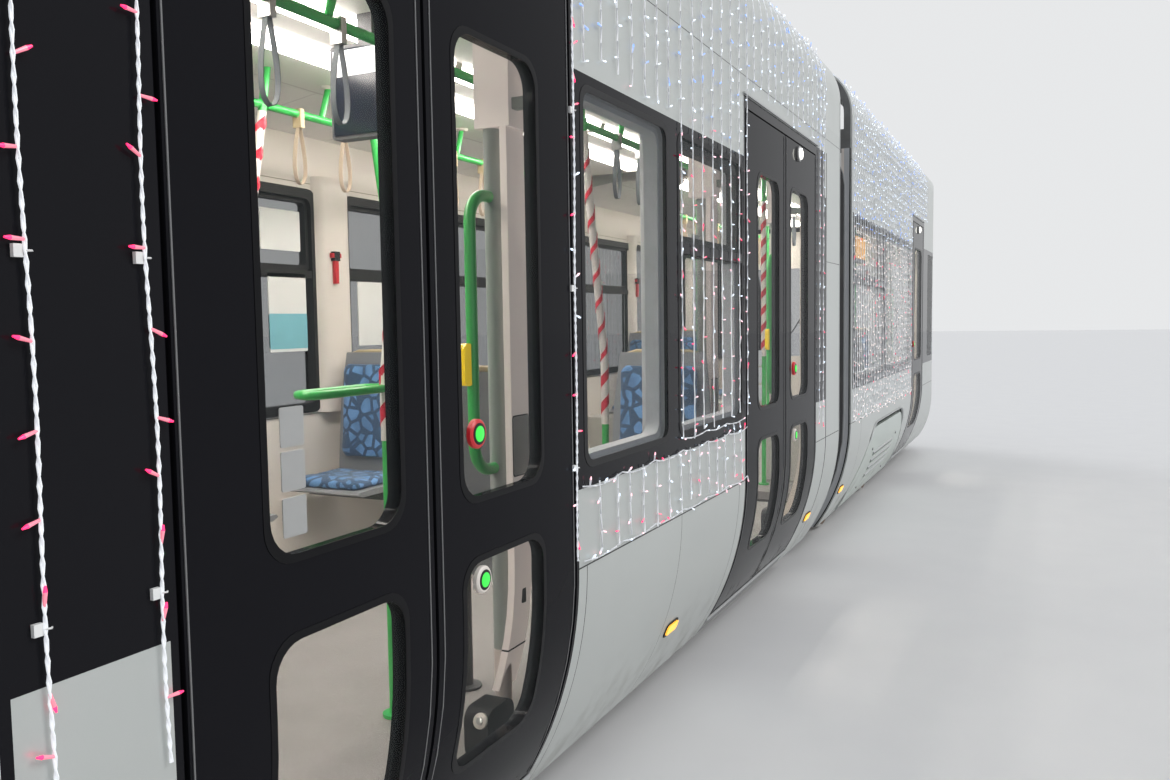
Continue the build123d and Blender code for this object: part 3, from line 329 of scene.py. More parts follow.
def body_shell():
    """Walls: silver outside with the black window band and door strips, cream lining inside."""
    look = Look("body_shell")
    x, y, z = look.place()
    along, depth = abs(x), inward(y, z)
    right = y < 0.0
    glazed = along.within(*GLAZED)
    doorway, edges = along.within(*DOOR_FRAMES), along.within(*DOOR_EDGES)
    corner_seam = along.within(*CORNER_SEAMS)
    black = z.between(*BAND_Z) * glazed
    black = black.most(right * doorway * z.between(BAND_Z[0], DOOR_HEAD))
    black = black.most(right * edges * (z < DOOR_HEAD))
    black = black.most(corner_seam * (z < right * (DOOR_HEAD - BAND_Z[1]) + BAND_Z[1]))
    skin, lining = depth < 0.008, depth > 0.052
    black = black * skin
    paint, patches, dirt = silver(look, z)
    seams = z.near(PANEL_SEAMS[0], 0.0024).most(z.near(2.755, 0.0016))
    uprights = along.near(5.175, 0.0016).most(along.on_lines(0.002, *PANEL_JOINTS))
    seams = seams.most(uprights * (z < PANEL_SEAMS[0]))
    seams = seams.most(along.within(*CORNER_PILLARS) * z.near(2.02, 0.002))
    paint = look.blend(seams, paint, SEAM_DARK)
    outer = look.blend(black, paint, BLACK_GLOSS)
    cream = look.blend(look.noise(3.0), shade(colours().lining, 0.95), colours().lining)
    panel_lines = z.on_lines(0.002, 2.42, 1.21)
    cream = look.blend(panel_lines, cream, (0.30, 0.27, 0.24))
    reveal = look.blend(depth < 0.016, (0.52, 0.53, 0.54), (0.02, 0.02, 0.02))
    inner = look.blend(lining, reveal, cream)
    colour = look.blend(skin, inner, outer)
    plain_rough = skin * (0.34 + patches * 0.08 + dirt * 0.5) + (1 - skin) * 0.5
    rough = plain_rough * (1 - black) + black * 0.07
    return look.surface(
        Base_Color=colour,
        Roughness=rough,
        Metallic=skin * (1 - black) * (1 - dirt) * 0.45,
        Specular_IOR_Level=0.08,
        Coat_Weight=skin * (1 - black) * 0.20,
        Coat_Roughness=0.08,
        Normal=look.bump(look.noise(38.0, 2.0) - seams * 4.0, 0.05, 0.001),
    )


def roof_shell():
    """Roofs: silver shoulders, grey equipment in a dark trough, and the pale ceiling below."""
    look = Look("roof_shell")
    x, y, z = look.place()
    reach, depth = abs(y), inward(y, z)
    skin = (depth < 0.010) * (z > 2.70)
    ceiling = z < 2.80
    units = (reach < 0.66) * (z > TROUGH_Z + 0.012)
    paint, _, _ = silver(look, z, 1.1)
    ends = (abs(x) / 0.62).fract().near(0.5, 0.003) * (reach > 0.60)
    white = look.blend(look.noise(2.0), (0.86, 0.83, 0.79), (0.92, 0.89, 0.86))
    white = look.blend(ends.most(reach.near(0.60, 0.003)), white, (0.42, 0.40, 0.37))
    grime = look.noise(5.0, 5.0).smooth(0.40, 0.72)
    grey = look.blend(grime, (0.36, 0.37, 0.37), (0.27, 0.27, 0.265))
    trough = look.blend(grime, (0.17, 0.175, 0.175), (0.11, 0.11, 0.105))
    colour = look.blend(units, trough, grey)
    colour = look.blend(skin, colour, paint)
    colour = look.blend(ceiling * (1 - skin), colour, white)
    return look.surface(
        Base_Color=colour,
        Roughness=0.50 - skin * 0.14 + grime * 0.08,
        Metallic=skin * 0.45,
        Coat_Weight=0.2,
        Normal=look.bump(look.noise(34.0, 2.0) + grime, 0.08, 0.001),
    )


def floor_cover():
    """Speckled rubber on top, dusty underframe paint below, pale panels on the wheel boxes."""
    look = Look("floor_cover")
    x, y, z = look.place()
    top = z > FLOOR_Z - 0.006
    boxes = (z > HIGH_FLOOR_Z + 0.012) * (abs(y) > 0.40)
    specks = look.noise(420.0, 1.0).smooth(0.60, 0.66)
    scuffs = look.noise(6.0, 4.0)
    rubber = look.blend(scuffs, (0.27, 0.25, 0.24), (0.36, 0.34, 0.33))
    rubber = look.blend(specks * 0.7, rubber, (0.55, 0.54, 0.53))
    step = (y < -0.93) * (abs(x) < 12.7)
    rubber = look.blend(step, rubber, (0.56, 0.42, 0.16))
    panel = look.blend(look.noise(9.0), (0.50, 0.49, 0.46), (0.58, 0.57, 0.54))
    dust = look.noise(4.0, 5.0).smooth(0.35, 0.75)
    under = look.blend(dust, (0.055, 0.055, 0.058), (0.16, 0.14, 0.115))
    colour = look.blend(top, under, look.blend(boxes, rubber, panel))
    return look.surface(
        Base_Color=colour,
        Roughness=0.55 + dust * 0.2,
        Normal=look.bump(specks + scuffs * 0.5, 0.12, 0.0006),
    )


def glazing():
    """Tinted side windows, clearer door panes and screens, and pale lamp glasses in the nose."""
    look = Look("glazing")
    x, y, z = look.place()
    along = abs(x)
    doorway = along.within(*DOOR_PANES)
    screens = (abs(y) < 1.09) * (along < 12.6)
    clear = ((y < -1.0) * doorway).most(screens)
    lamps = (along > 14.2) * (z < 0.95)
    smears = look.noise(6.0, 4.0)
    edge = look.node("ShaderNodeFresnel", IOR=1.5)
    veil = 0.13 - clear * 0.09 + smears * 0.02
    see = veil + (1 - veil) * edge * 0.30
    tint = look.blend(clear, (0.006, 0.014, 0.013), (0.02, 0.025, 0.025))
    tint = look.blend(lamps, tint, (0.75, 0.77, 0.80))
    return look.surface(
        Base_Color=tint,
        Roughness=0.03 + smears * 0.03,
        Specular_IOR_Level=0.35,
        Alpha=see.most(lamps * 0.14),
    )


def door_paint():
    """Black gloss leaves; the turning columns behind them are satin grey."""
    look = Look("door_paint")
    _, y, z = look.place()
    column = inward(y, z) > 0.048
    grain = look.noise(25.0)
    wear = (1 - z.smooth(0.30, 0.46)) * look.noise(14.0, 5.0).smooth(0.5, 0.75)
    black = look.blend(wear * 0.7, BLACK_GLOSS, (0.10, 0.095, 0.085))
    grey = look.blend(grain, (0.34, 0.37, 0.35), (0.40, 0.43, 0.41))
    foot = 1 - z.smooth(0.700, 0.703)
    column_colour = look.blend(foot, grey, (0.74, 0.65, 0.60))
    return look.surface(
        Base_Color=look.blend(column, black, column_colour),
        Roughness=column * 0.28 + 0.06 + wear * 0.4,
        Specular_IOR_Level=0.04,
        Normal=look.bump(grain, 0.02, 0.0006),
    )


def casing():
    """Pale casings of the door columns, with a painted glow in their own colour that stands in for
    the light of the lamps over the doors.
    """
    look = Look("casing")
    colour = look.blend(look.noise(8.0), (0.72, 0.63, 0.59), (0.80, 0.71, 0.66))
    # The emission is painted light: the casing is no lamp, and glows only to look lit by the door
    # lamps.
    material = look.surface(
        Base_Color=colour, Roughness=0.42, Emission_Color=colour, Emission_Strength=0.36
    )
    material.cycles.emission_sampling = "NONE"
    return material


def wheel_cover():
    """The covers over the wheels: a lighter, greener silver, dirty at the foot and louvres."""
    look = Look("wheel_cover")
    _, _, z = look.place()
    patches, dirt = look.noise(1.4, 4.0), road_dirt(look, z)
    green = look.blend(patches, (0.50, 0.56, 0.52), (0.58, 0.63, 0.58))
    colour = look.blend(dirt, green, (0.22, 0.20, 0.17))
    return look.surface(
        Base_Color=colour, Roughness=0.36 + dirt * 0.4, Metallic=0.4 - dirt * 0.4, Coat_Weight=0.2
    )


def nose_paint():
    """The ends: silver panels, a black mask round the windscreen, a dark bumper."""
    look = Look("nose_paint")
    x, y, z = look.place()
    along = abs(x)
    paint, _, dirt = silver(look, z)
    band = z.between(*BAND_Z)
    mask = (along > 13.6) * z.between(1.02, 2.84)
    bumper = (along > 14.351) * z.between(0.3301, 0.5599)
    lamps = (along > 14.25) * abs(abs(y) - 0.62).smooth(0.19, 0.17) * z.between(0.74, 0.98)
    black = band.most(mask).most(lamps)
    colour = look.blend(black, paint, BLACK_GLOSS)
    colour = look.blend(bumper, colour, (0.05, 0.05, 0.052))
    seams = z.near(PANEL_SEAMS[0], 0.0024) * (1 - black)
    return look.surface(
        Base_Color=look.blend(seams, colour, SEAM_DARK),
        Roughness=(0.36 + dirt * 0.4) * (1 - black) + black * 0.07 + bumper * 0.25,
        Metallic=(1 - black) * (1 - bumper) * 0.45,
        Specular_IOR_Level=0.08,
        Coat_Weight=(1 - black) * 0.20,
        Coat_Roughness=0.08,
    )


def cab_lining():
    """Partition pale, desk and driver's stand dark."""
    look = Look("cab_lining")
    x, _, _ = look.place()
    dark = abs(x) > 12.9
    grain = look.noise(140.0, 2.0)
    pale = look.blend(look.noise(3.0), shade(colours().lining, 0.9), colours().lining)
    colour = look.blend(dark, pale, look.blend(grain, (0.035, 0.036, 0.040), (0.06, 0.062, 0.066)))
    return look.surface(Base_Color=colour, Roughness=0.55, Normal=look.bump(grain, 0.15, 0.0004))


def cast_frame():
    """Dark bogie paint with brake dust and oily patches."""
    look = Look("cast_frame")
    dust = look.noise(6.0, 5.0).smooth(0.35, 0.72)
    oil = look.noise(11.0, 2.0).smooth(0.60, 0.70)
    colour = look.blend(dust, (0.050, 0.050, 0.054), (0.15, 0.115, 0.085))
    return look.surface(
        Base_Color=look.blend(oil, colour, (0.02, 0.018, 0.015)),
        Roughness=0.66 - oil * 0.35,
        Normal=look.bump(look.noise(90.0, 2.0), 0.25, 0.001),
    )


def wheel_steel(centre):
    """Wheel steel: a bright running tread, a rusty web and a grey hub, by radius."""
    look = Look("wheel_steel")
    x, _, z = look.place()
    side, rise = x - centre, z - AXLE_Z
    radius = (side * side + rise * rise).root()
    tread = radius > 0.286
    rust = look.noise(22.0, 5.0)
    web = look.blend(rust, (0.10, 0.065, 0.045), (0.18, 0.12, 0.085))
    hub = look.blend(rust, (0.16, 0.155, 0.15), (0.24, 0.23, 0.22))
    colour = look.blend(radius < 0.12, web, hub)
    colour = look.blend(tread, colour, (0.62, 0.60, 0.57))
    return look.surface(
        Base_Color=colour, Roughness=0.62 - tread * 0.36 + rust * 0.05, Metallic=tread * 0.6 + 0.3
    )


def panto_paint():
    """Red oxide paint, chipped to metal."""
    look = Look("panto_paint")
    chips = look.noise(30.0, 5.0).smooth(0.60, 0.68)
    paint = look.blend(look.noise(4.0), (0.27, 0.055, 0.035), (0.34, 0.075, 0.05))
    colour = look.blend(chips, paint, (0.40, 0.38, 0.36))
    return look.surface(Base_Color=colour, Roughness=0.45, Metallic=chips * 0.7)


def grained(name, colour, roughness, scale=40.0, metallic=0.0, spread=0.12, relief=0.05, **named):
    """A finish of one colour with a fine grain in its tone, gloss and relief."""
    look = Look(name)
    grain = look.noise(scale)
    return look.surface(
        Base_Color=look.blend(grain, shade(colour, 1 - spread), shade(colour, 1 + spread)),
        Roughness=grain * 0.1 + (roughness - 0.05),
        Metallic=metallic,
        Normal=look.bump(grain, relief, 0.0005),
        **named,
    )


def lit(name, colour, strength, base=(0.8, 0.8, 0.8)):
    """A glowing lens or tip, a little stronger in its middle tones; on the wire, which is no lamp,
    the glow is painted light.
    """
    look = Look(name)
    glow = look.blend(look.noise(30.0), shade(colour, 0.9), colour)
    material = look.surface(
        Base_Color=base, Roughness=0.25, Emission_Color=glow, Emission_Strength=strength
    )
    if strength < 3.0:
        material.cycles.emission_sampling = "NONE"
    return material


def pebble_cloth():
    """Blue plush with rounded pebbles of lighter blue on dark blue, and a fine pile."""
    look = Look("pebble_cloth")
    pebble = look.edges_of_cells(15.0).smooth(0.10, 0.16)
    tone = look.noise(9.0, 1.0).smooth(0.40, 0.60)
    light, dark = colours().cushion, shade(colours().cushion, 0.12)
    pile = look.noise(1200.0, 1.0)
    stone = look.blend(tone, shade(light, 0.75), shade(light, 1.25))
    colour = look.blend(pebble, dark, stone)
    colour = look.blend(pile * 0.35, colour, shade(light, 1.5))
    return look.surface(
        Base_Color=colour,
        Roughness=0.85,
        Sheen_Weight=0.35,
        Normal=look.bump(pile + pebble * 0.6, 0.35, 0.0008),
    )


def fold_rubber():
    """Bellows cloth coated with rubber: black, half glossy, finely ribbed."""
    look = Look("fold_rubber")
    grain = look.noise(150.0, 2.0)
    dust = look.noise(5.0, 4.0).smooth(0.45, 0.80)
    colour = look.blend(dust, (0.014, 0.014, 0.016), (0.045, 0.043, 0.040))
    return look.surface(
        Base_Color=colour, Roughness=0.30 + dust * 0.2, Normal=look.bump(grain, 0.2, 0.0008)
    )


def clear_sleeve():
    """The clear, slightly milky plastic of the lamp sleeves and the wires."""
    look = Look("clear_sleeve")
    edge = look.node("ShaderNodeFresnel", IOR=1.45)
    milk = look.noise(60.0)
    return look.surface(
        Base_Color=(0.86, 0.88, 0.90),
        Roughness=0.12,
        Alpha=0.50 + milk * 0.1 + edge * 0.4,
        Emission_Color=look.blend(milk, (0.55, 0.58, 0.62), (0.70, 0.72, 0.75)),
        Emission_Strength=0.25,
    )


def studio_floor():
    """The pale, dull floor of the studio."""
    look = Look("studio_floor")
    grain = look.noise(3.0, 2.0)
    return look.surface(
        Base_Color=look.blend(grain, (0.66, 0.66, 0.655), (0.70, 0.70, 0.69)), Roughness=0.75
    )


MAKERS = (body_shell, roof_shell, floor_cover, glazing, door_paint, casing, wheel_cover)
MAKERS += (nose_paint, cab_lining, cast_frame, panto_paint, pebble_cloth, fold_rubber, clear_sleeve)
# Finishes of one colour: colour, or a user's colour by name, roughness, grain scale and the rest
PLAIN = {
    "rail_paint": ("rails", 0.30, 60.0, {"Coat_Weight": 0.4}),
    "rubber": ((0.016, 0.016, 0.017), 0.55, 120.0, {"Specular_IOR_Level": 0.25}),
    # The pale grey of the door seals' lips is a painted highlight along the black rubber.
    "seal_edge": ((0.16, 0.16, 0.16), 0.40, 90.0, {}),
    "black_gloss": (BLACK_GLOSS, 0.12, 30.0, {"relief": 0.01, "Specular_IOR_Level": 0.08}),
    "pane_black": ((0.008, 0.008, 0.009), 0.30, 40.0, {"Specular_IOR_Level": 0.08}),
    "window_frame": ((0.56, 0.58, 0.61), 0.42, 25.0, {}),
    "cream": ((0.76, 0.70, 0.64), 0.50, 6.0, {"spread": 0.04}),
    "white_plate": ((0.80, 0.80, 0.78), 0.45, 30.0, {"spread": 0.03}),
    "pale_plate": ((0.22, 0.52, 0.60), 0.45, 14.0, {}),
    "steel": ((0.55, 0.55, 0.54), 0.30, 160.0, {"metallic": 0.9}),
    "alloy": ((0.46, 0.47, 0.47), 0.38, 80.0, {"metallic": 0.7}),
    "dark_metal": ((0.10, 0.10, 0.105), 0.50, 40.0, {"metallic": 0.4}),
    "strap_grey": ((0.16, 0.18, 0.20), 0.60, 300.0, {"relief": 0.3}),
    "strap_beige": ((0.52, 0.42, 0.32), 0.60, 300.0, {"relief": 0.3}),
    "red_paint": ((0.62, 0.02, 0.03), 0.35, 50.0, {}),
    "red_tape": ((0.66, 0.02, 0.05), 0.28, 35.0, {"relief": 0.2}),
    "white_tape": ((0.80, 0.76, 0.72), 0.30, 35.0, {"relief": 0.2}),
    "tan": ((0.55, 0.44, 0.26), 0.45, 50.0, {}),
    "stone_grey": ((0.30, 0.31, 0.33), 0.48, 200.0, {"relief": 0.15}),
    "driver_cloth": ((0.045, 0.05, 0.06), 0.85, 700.0, {"relief": 0.5}),
    "screen_glass": ((0.012, 0.016, 0.03), 0.12, 5.0, {"relief": 0.0}),
}
# Glowing finishes: colour of the light, its strength and the colour underneath
GLOWING = {
    "light_strip": ((1.0, 0.94, 0.87), 24.0),
    "door_lamp": ((1.0, 0.98, 0.88), 3.0),
    "head_lamp": ((1.0, 0.98, 0.95), 1.4),
    "tail_lamp": ((1.0, 0.05, 0.03), 1.0, (0.5, 0.02, 0.02)),
    "screen_white": ((0.85, 0.93, 1.0), 0.9),
    "amber": ((1.0, 0.48, 0.04), 1.3, (0.8, 0.35, 0.05)),
    "yellow": ((1.0, 0.68, 0.01), 0.45, (0.95, 0.66, 0.01)),
    "button_green": ((0.05, 1.0, 0.08), 0.75, (0.02, 0.30, 0.04)),
    "tip_cold": ("cold_light", 1.6),
    "tip_blue": ((0.12, 0.30, 1.0), 1.8, (0.2, 0.3, 0.7)),
    "sleeve_blue": ((0.25, 0.42, 1.0), 0.45, (0.45, 0.55, 0.80)),
    "tip_pink": ("pink_light", 2.0, (0.7, 0.05, 0.15)),
    "sleeve_pink": ((1.0, 0.16, 0.26), 0.55, (0.75, 0.30, 0.36)),
    "tip_warm": ("warm_light", 1.2),
    "tip_rose": ((1.0, 0.36, 0.46), 1.6),
    # The wire is no lamp: its glow is painted light that makes the white cable look lit.
    "wire": ((0.80, 0.84, 0.90), 0.30, (0.85, 0.86, 0.87)),
}
made_looks = {}


def own_colour(value):
    return getattr(colours(), value) if isinstance(value, str) else value


def make_finish(name):
    if name in PLAIN:
        colour, roughness, scale, more = PLAIN[name]
        return grained(name, own_colour(colour), roughness, scale, **more)
    if name in GLOWING:
        colour, *rest = GLOWING[name]
        return lit(name, own_colour(colour), *rest)
    return {maker.__name__: maker for maker in MAKERS}[name]()


def finish(name):
    """The finish of that name, made when it is first asked for."""
    if name not in made_looks:
        made_looks[name] = make_finish(name)
    return made_looks[name]


# Meshes
BOX_FACES = ((0, 1, 3, 2), (4, 6, 7, 5), (0, 4, 5, 1), (2, 3, 7, 6), (0, 2, 6, 4), (1, 5, 7, 3))
SMOOTH_ANGLE = math.radians(38)
SPIRAL_STEPS = 14


def rounded(u0, v0, u1, v1, radius, steps=4, grow=0.0):
    """The outline of a rectangle, grown all round, with round corners, anticlockwise."""
    u0, v0, u1, v1 = u0 - grow, v0 - grow, u1 + grow, v1 + grow
    corners = ((u1 - radius, v0 + radius, -90), (u1 - radius, v1 - radius, 0))
    corners += ((u0 + radius, v1 - radius, 90), (u0 + radius, v0 + radius, 180))
    outline = []
    for u, v, start in corners:
        for turn in (math.radians(start + 90 * n / steps) for n in range(steps + 1)):
            outline.append((u + radius * math.cos(turn), v + radius * math.sin(turn)))
    return outline


def circle(count):
    """Angles spread evenly over a full turn."""
    return [2 * math.pi * n / count for n in range(count)]


def spaced(start, end, count):
    """count steps from start to end, both ends included."""
    return [start + (end - start) * n / count for n in range(count + 1)]


def divided(outline, step=0.07):
    """The same outline with points along its long edges, so that it follows the curved side."""
    points = []
    for here, after in zip(outline, outline[1:] + outline[:1]):
        count = max(1, round(math.dist(here, after) / step))
        for n in range(count):
            points.append(tuple(a + (b - a) * n / count for a, b in zip(here, after)))
    return points


def beside(side, out):
    """Places an outline's point on the body's side, standing out by out."""
    return lambda x, z: (x, side * skin_y(z, out), z)


def facing_x(x):
    return lambda y, z: (x, y, z)


def facing_y(y):
    return lambda x, z: (x, y, z)


def facing_z(z):
    return lambda x, y: (x, y, z)


def band(near, far, half):
    """The four corners of a flat band's section."""
    return [near - half, near + half, far + half, far - half]


class Work:
    """A piece in the making: its points, its faces and the finish of each face."""

    def __init__(self, *finishes):
        self.finishes = list(finishes)
        self.points = []
        self.faces = []
        self.marks = []
        self.mark = 0

    def use(self, name):
        if name not in self.finishes:
            self.finishes.append(name)
        self.mark = self.finishes.index(name)
        return self

    def add(self, points, faces):
        base = len(self.points)
        self.points.extend(tuple(point) for point in points)
        self.faces.extend(tuple(base + n for n in face) for face in faces)
        self.marks.extend([self.mark] * len(faces))

    def box(self, *spans):
        spans = [sorted(span) for span in spans]
        self.add([(x, y, z) for x in spans[0] for y in spans[1] for z in spans[2]], BOX_FACES)

    def prism(self, outline, front, back):
        """A plate: front and back place a point of the outline on each of its faces."""
        count = len(outline)
        faces = [tuple(range(count)), tuple(range(2 * count - 1, count - 1, -1))]
        faces += [(n, n + count, (n + 1) % count + count, (n + 1) % count) for n in range(count)]
        self.add([front(*p) for p in outline] + [back(*p) for p in outline], faces)

    def ring(self, outer, inner, front, back):
        """A frame between two outlines of as many points."""
        count = len(outer)
        points = [place(*p) for place in (front, back) for line in (outer, inner) for p in line]
        faces = []
        for n in range(count):
            m = (n + 1) % count
            faces.append((n, m, count + m, count + n))
            faces.append((2 * count + n, 3 * count + n, 3 * count + m, 2 * count + m))
            faces.append((n, 2 * count + n, 2 * count + m, m))
            faces.append((count + n, count + m, 3 * count + m, 3 * count + n))
        self.add(points, faces)

    def loft(self, rings, closed=False):
        """A skin over rings of as many points; closed joins the last ring to the first."""
        size, count = len(rings[0]), len(rings)
        faces = []
        for n in range(count if closed else count - 1):
            here, after = n * size, (n + 1) % count * size
            for k in range(size):
                m = (k + 1) % size
                faces.append((here + k, here + m, after + m, after + k))
        if not closed:
            faces.append(tuple(range(size - 1, -1, -1)))
            faces.append(tuple((count - 1) * size + k for k in range(size)))
        self.add([point for ring in rings for point in ring], faces)

    def bar(self, start, end, radius, sides=8, **named):
        """A straight tube."""
        self.tube([start, end], radius, sides, **named)

    def tube(self, path, radius, sides=8, closed=False, spin=0.0, squash=1.0):
        """A round bar along a path; spin twists it, in radians a metre, and squash flattens it."""
        path = [Vector(point) for point in path]
        count = len(path)
        rings, side, length = [], None, 0.0
        for n, point in enumerate(path):
            before = path[n - 1] if n or closed else path[0]
            after = path[(n + 1) % count] if n < count - 1 or closed else path[-1]
            along = (after - before).normalized()
            side = along.orthogonal() if side is None else side - along * side.dot(along)
            side.normalize()
            up = along.cross(side)
            length += (point - before).length if n else 0.0
            turn = spin * length
            ring = []
            for angle in circle(sides):
                u, v = math.cos(angle) * radius, math.sin(angle) * radius * squash
                across = u * math.cos(turn) - v * math.sin(turn)
                above = u * math.sin(turn) + v * math.cos(turn)
                ring.append(point + side * across + up * above)
            rings.append(ring)
        self.loft(rings, closed)

    def turned(self, centre, axis, profile, sides=16):
        """A turned piece: profile lists distance along the axis and radius."""
        axis = Vector(axis).normalized()
        side = axis.orthogonal().normalized()
        up = axis.cross(side)
        rings = []
        for along, radius in profile:
            spot = Vector(centre) + axis * along
            ring = [side * math.cos(turn) + up * math.sin(turn) for turn in circle(sides)]
            rings.append([spot + out * radius for out in ring])
        self.loft(rings)

    def spiral(self, spine, start, end, radius, pitch, width, thickness):
        """A band wound round a post; spine gives the post's middle at a height."""
        rings = []
        rise = Vector((0, 0, width / 2))
        for z in spaced(start, end, int((end - start) / pitch * SPIRAL_STEPS)):
            turn = 2 * math.pi * (z - start) / pitch
            out = Vector((math.cos(turn), math.sin(turn), 0))
            near = Vector(spine(z)) + out * radius
            rings.append(band(near, near + out * thickness, rise))
        self.loft(rings)

    def upright(self, side, x0, x1, z0, z1, out, depth, step=0.12):
        """A strip up the body's side that follows its curve."""
        rings = []
        for z in spaced(z0, z1, max(1, round((z1 - z0) / step))):
            near, far = side * skin_y(z, out), side * skin_y(z, out - depth)
            rings.append([(x0, near, z), (x1, near, z), (x1, far, z), (x0, far, z)])
        self.loft(rings)

    def build(self, name, body, slot=None, mirror=False):
        points = [(-x, y, z) for x, y, z in self.points] if mirror else self.points
        mesh = bpy.data.meshes.new(name)
        mesh.from_pydata([tuple(point) for point in points], [], self.faces)
        for kind in self.finishes:
            mesh.materials.append(finish(kind))
        mesh.polygons.foreach_set("material_index", self.marks)
        work = bmesh.new()
        work.from_mesh(mesh)
        bmesh.ops.recalc_face_normals(work, faces=work.faces)
        work.to_mesh(mesh)
        work.free()
        mesh.shade_smooth()
        mesh.set_sharp_from_angle(angle=SMOOTH_ANGLE)
        piece = bpy.data.objects.new(name, mesh)
        bpy.context.scene.collection.objects.link(piece)
        if body:
            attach(piece, body)
        return piece

    def build_all(self, name, kind, slot=None):
        """The piece on its section, and mirrored on the section of the other half."""
        if kind == "middle":
            return [self.build("middle_" + name, "middle_section", slot)]
        return [
            self.build(f"{half}_{kind}_{name}", f"{half}_{kind}", slot, half == "rear")
            for half in ("front", "rear")
        ]


# Stage and camera: the photograph's own view, in metres and radians
PHOTO_WIDTH = 1170
PHOTO_FOCAL = 962.03
CAMERA_PLACE = (1.781, -2.4256, 1.6748)
CAMERA_YAW = math.radians(25.947)
CAMERA_PITCH = math.radians(4.041)
CAMERA_ROLL = math.radians(-0.840)
STAGE_HALF = 120.0


def make_camera():
    cy, sy = math.cos(CAMERA_YAW), math.sin(CAMERA_YAW)
    cp, sp = math.cos(CAMERA_PITCH), math.sin(CAMERA_PITCH)
    forward = Vector((cy * cp, sy * cp, -sp))
    right = Vector((sy, -cy, 0.0))
    up = right.cross(forward)
    turned_right = right * math.cos(CAMERA_ROLL) + up * math.sin(CAMERA_ROLL)
    turned_up = up * math.cos(CAMERA_ROLL) - right * math.sin(CAMERA_ROLL)
    data = bpy.data.cameras.new("photo_camera")
    data.sensor_width = 36.0
    data.lens = 36.0 * PHOTO_FOCAL / PHOTO_WIDTH
    data.clip_end = 400.0
    camera = bpy.data.objects.new("photo_camera", data)
    bpy.context.scene.collection.objects.link(camera)
    turn = Matrix((turned_right, turned_up, -forward)).transposed().to_4x4()
    camera.matrix_world = Matrix.Translation(Vector(CAMERA_PLACE)) @ turn
    bpy.context.scene.camera = camera


def make_sun(name, strength, tilt, turn):
    sun = bpy.data.lights.new(name, "SUN")
    sun.energy = strength
    sun.angle = 0.5
    lamp = bpy.data.objects.new(name, sun)
    lamp.rotation_euler = (math.radians(tilt), 0.0, math.radians(turn))
    bpy.context.scene.collection.objects.link(lamp)


def make_world():
    """Soft light all round; the background that is seen or mirrored is paler than the light."""
    world = bpy.data.worlds.new("studio")
    bpy.context.scene.world = world
    look = Look("studio", world)
    camera, glossy, through = (
        look.node("ShaderNodeLightPath", output=f"Is {ray} Ray")
        for ray in ("Camera", "Glossy", "Transmission")
    )
    light = look.node("ShaderNodeBackground", Color=(0.90, 0.93, 1.0), Strength=0.62)
    backdrop = look.node("ShaderNodeBackground", Color=(0.80, 0.81, 0.82))
    seen = camera.most(glossy).most(through)
    mix = look.node("ShaderNodeMixShader", None, [seen, light, backdrop])
    look.finished("ShaderNodeOutputWorld", mix)


class TRAM_OT_stage(bpy.types.Operator):
    """Set up the floor, the light and the photograph's camera"""

    bl_idname = "tram.stage"
    bl_label = "Stage and camera"

    def execute(self, context):
        context.scene.view_settings.view_transform = "Standard"
        make_camera()
        make_world()
        make_sun("key", 1.5, 48, 14)
        make_sun("fill", 0.6, -55, -20)
        mesh = bpy.data.meshes.new("floor")
        corners = [(-1, -1, 0), (1, -1, 0), (1, 1, 0), (-1, 1, 0)]
        mesh.from_pydata([Vector(corner) * STAGE_HALF for corner in corners], [], [(0, 1, 2, 3)])
        mesh.materials.append(studio_floor())
        floor = bpy.data.objects.new("floor", mesh)
        context.scene.collection.objects.link(floor)
        return {"FINISHED"}


# Which finish each kind of CAD node takes, by the end of its name
NODE_LOOKS = (
    ("_walls", "body_shell"),
    ("_roof", "roof_shell"),
    ("_floor", "floor_cover"),
    ("_glazing", "glazing"),
    ("_doors", "door_paint"),
    ("_section_door", "door_paint"),
    ("_bogie_covers", "wheel_cover"),
    ("_bogie_frame", "cast_frame"),
    ("_nose", "nose_paint"),
    ("_cab", "cab_lining"),
    ("_rails", "rail_paint"),
    ("_seats", "stone_grey"),
    ("_bellows", "fold_rubber"),
)
WHEELSET_X = {
    "middle_front": 0.9,
    "middle_rear": -0.9,
    "front_leading": BOGIE_X + 0.9,
    "front_trailing": BOGIE_X - 0.9,
    "rear_leading": 0.9 - BOGIE_X,
    "rear_trailing": -0.9 - BOGIE_X,
}


def node_look(name):
    if name.endswith("_wheelset"):
        return wheel_steel(WHEELSET_X[name[: -len("_wheelset")]])
    if name.startswith("pantograph"):
        return finish("panto_paint")
    for ending, kind in NODE_LOOKS:
        if name.endswith(ending):
            return finish(kind)
    raise RuntimeError(f"no finish for {name}")


class TRAM_OT_finishes(bpy.types.Operator):
    """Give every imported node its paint, glass, rubber or steel"""

    bl_idname = "tram.finishes"
    bl_label = "Finishes"

    def execute(self, context):
        for name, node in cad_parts.items():
            node.data.materials.clear()
            node.data.materials.append(node_look(name))
        return {"FINISHED"}


# Body trim
HOPPER_Z = (1.925, 1.965)
ARCH_EDGE = ((1.222, 0.222), (1.222, 0.320), (0.788, 0.845))
COVER_BOLTS = [(x, z) for x in (-0.62, 0.62) for z in (0.30, 0.62)]
LOUVRE_TOP, LOUVRE_STEP = 0.577, 0.062
MARKERS = {"middle": (), "door_section": (5.290, 7.630), "cab_section": (8.680,)}
SECTION_KINDS = ("middle", "door_section", "cab_section")


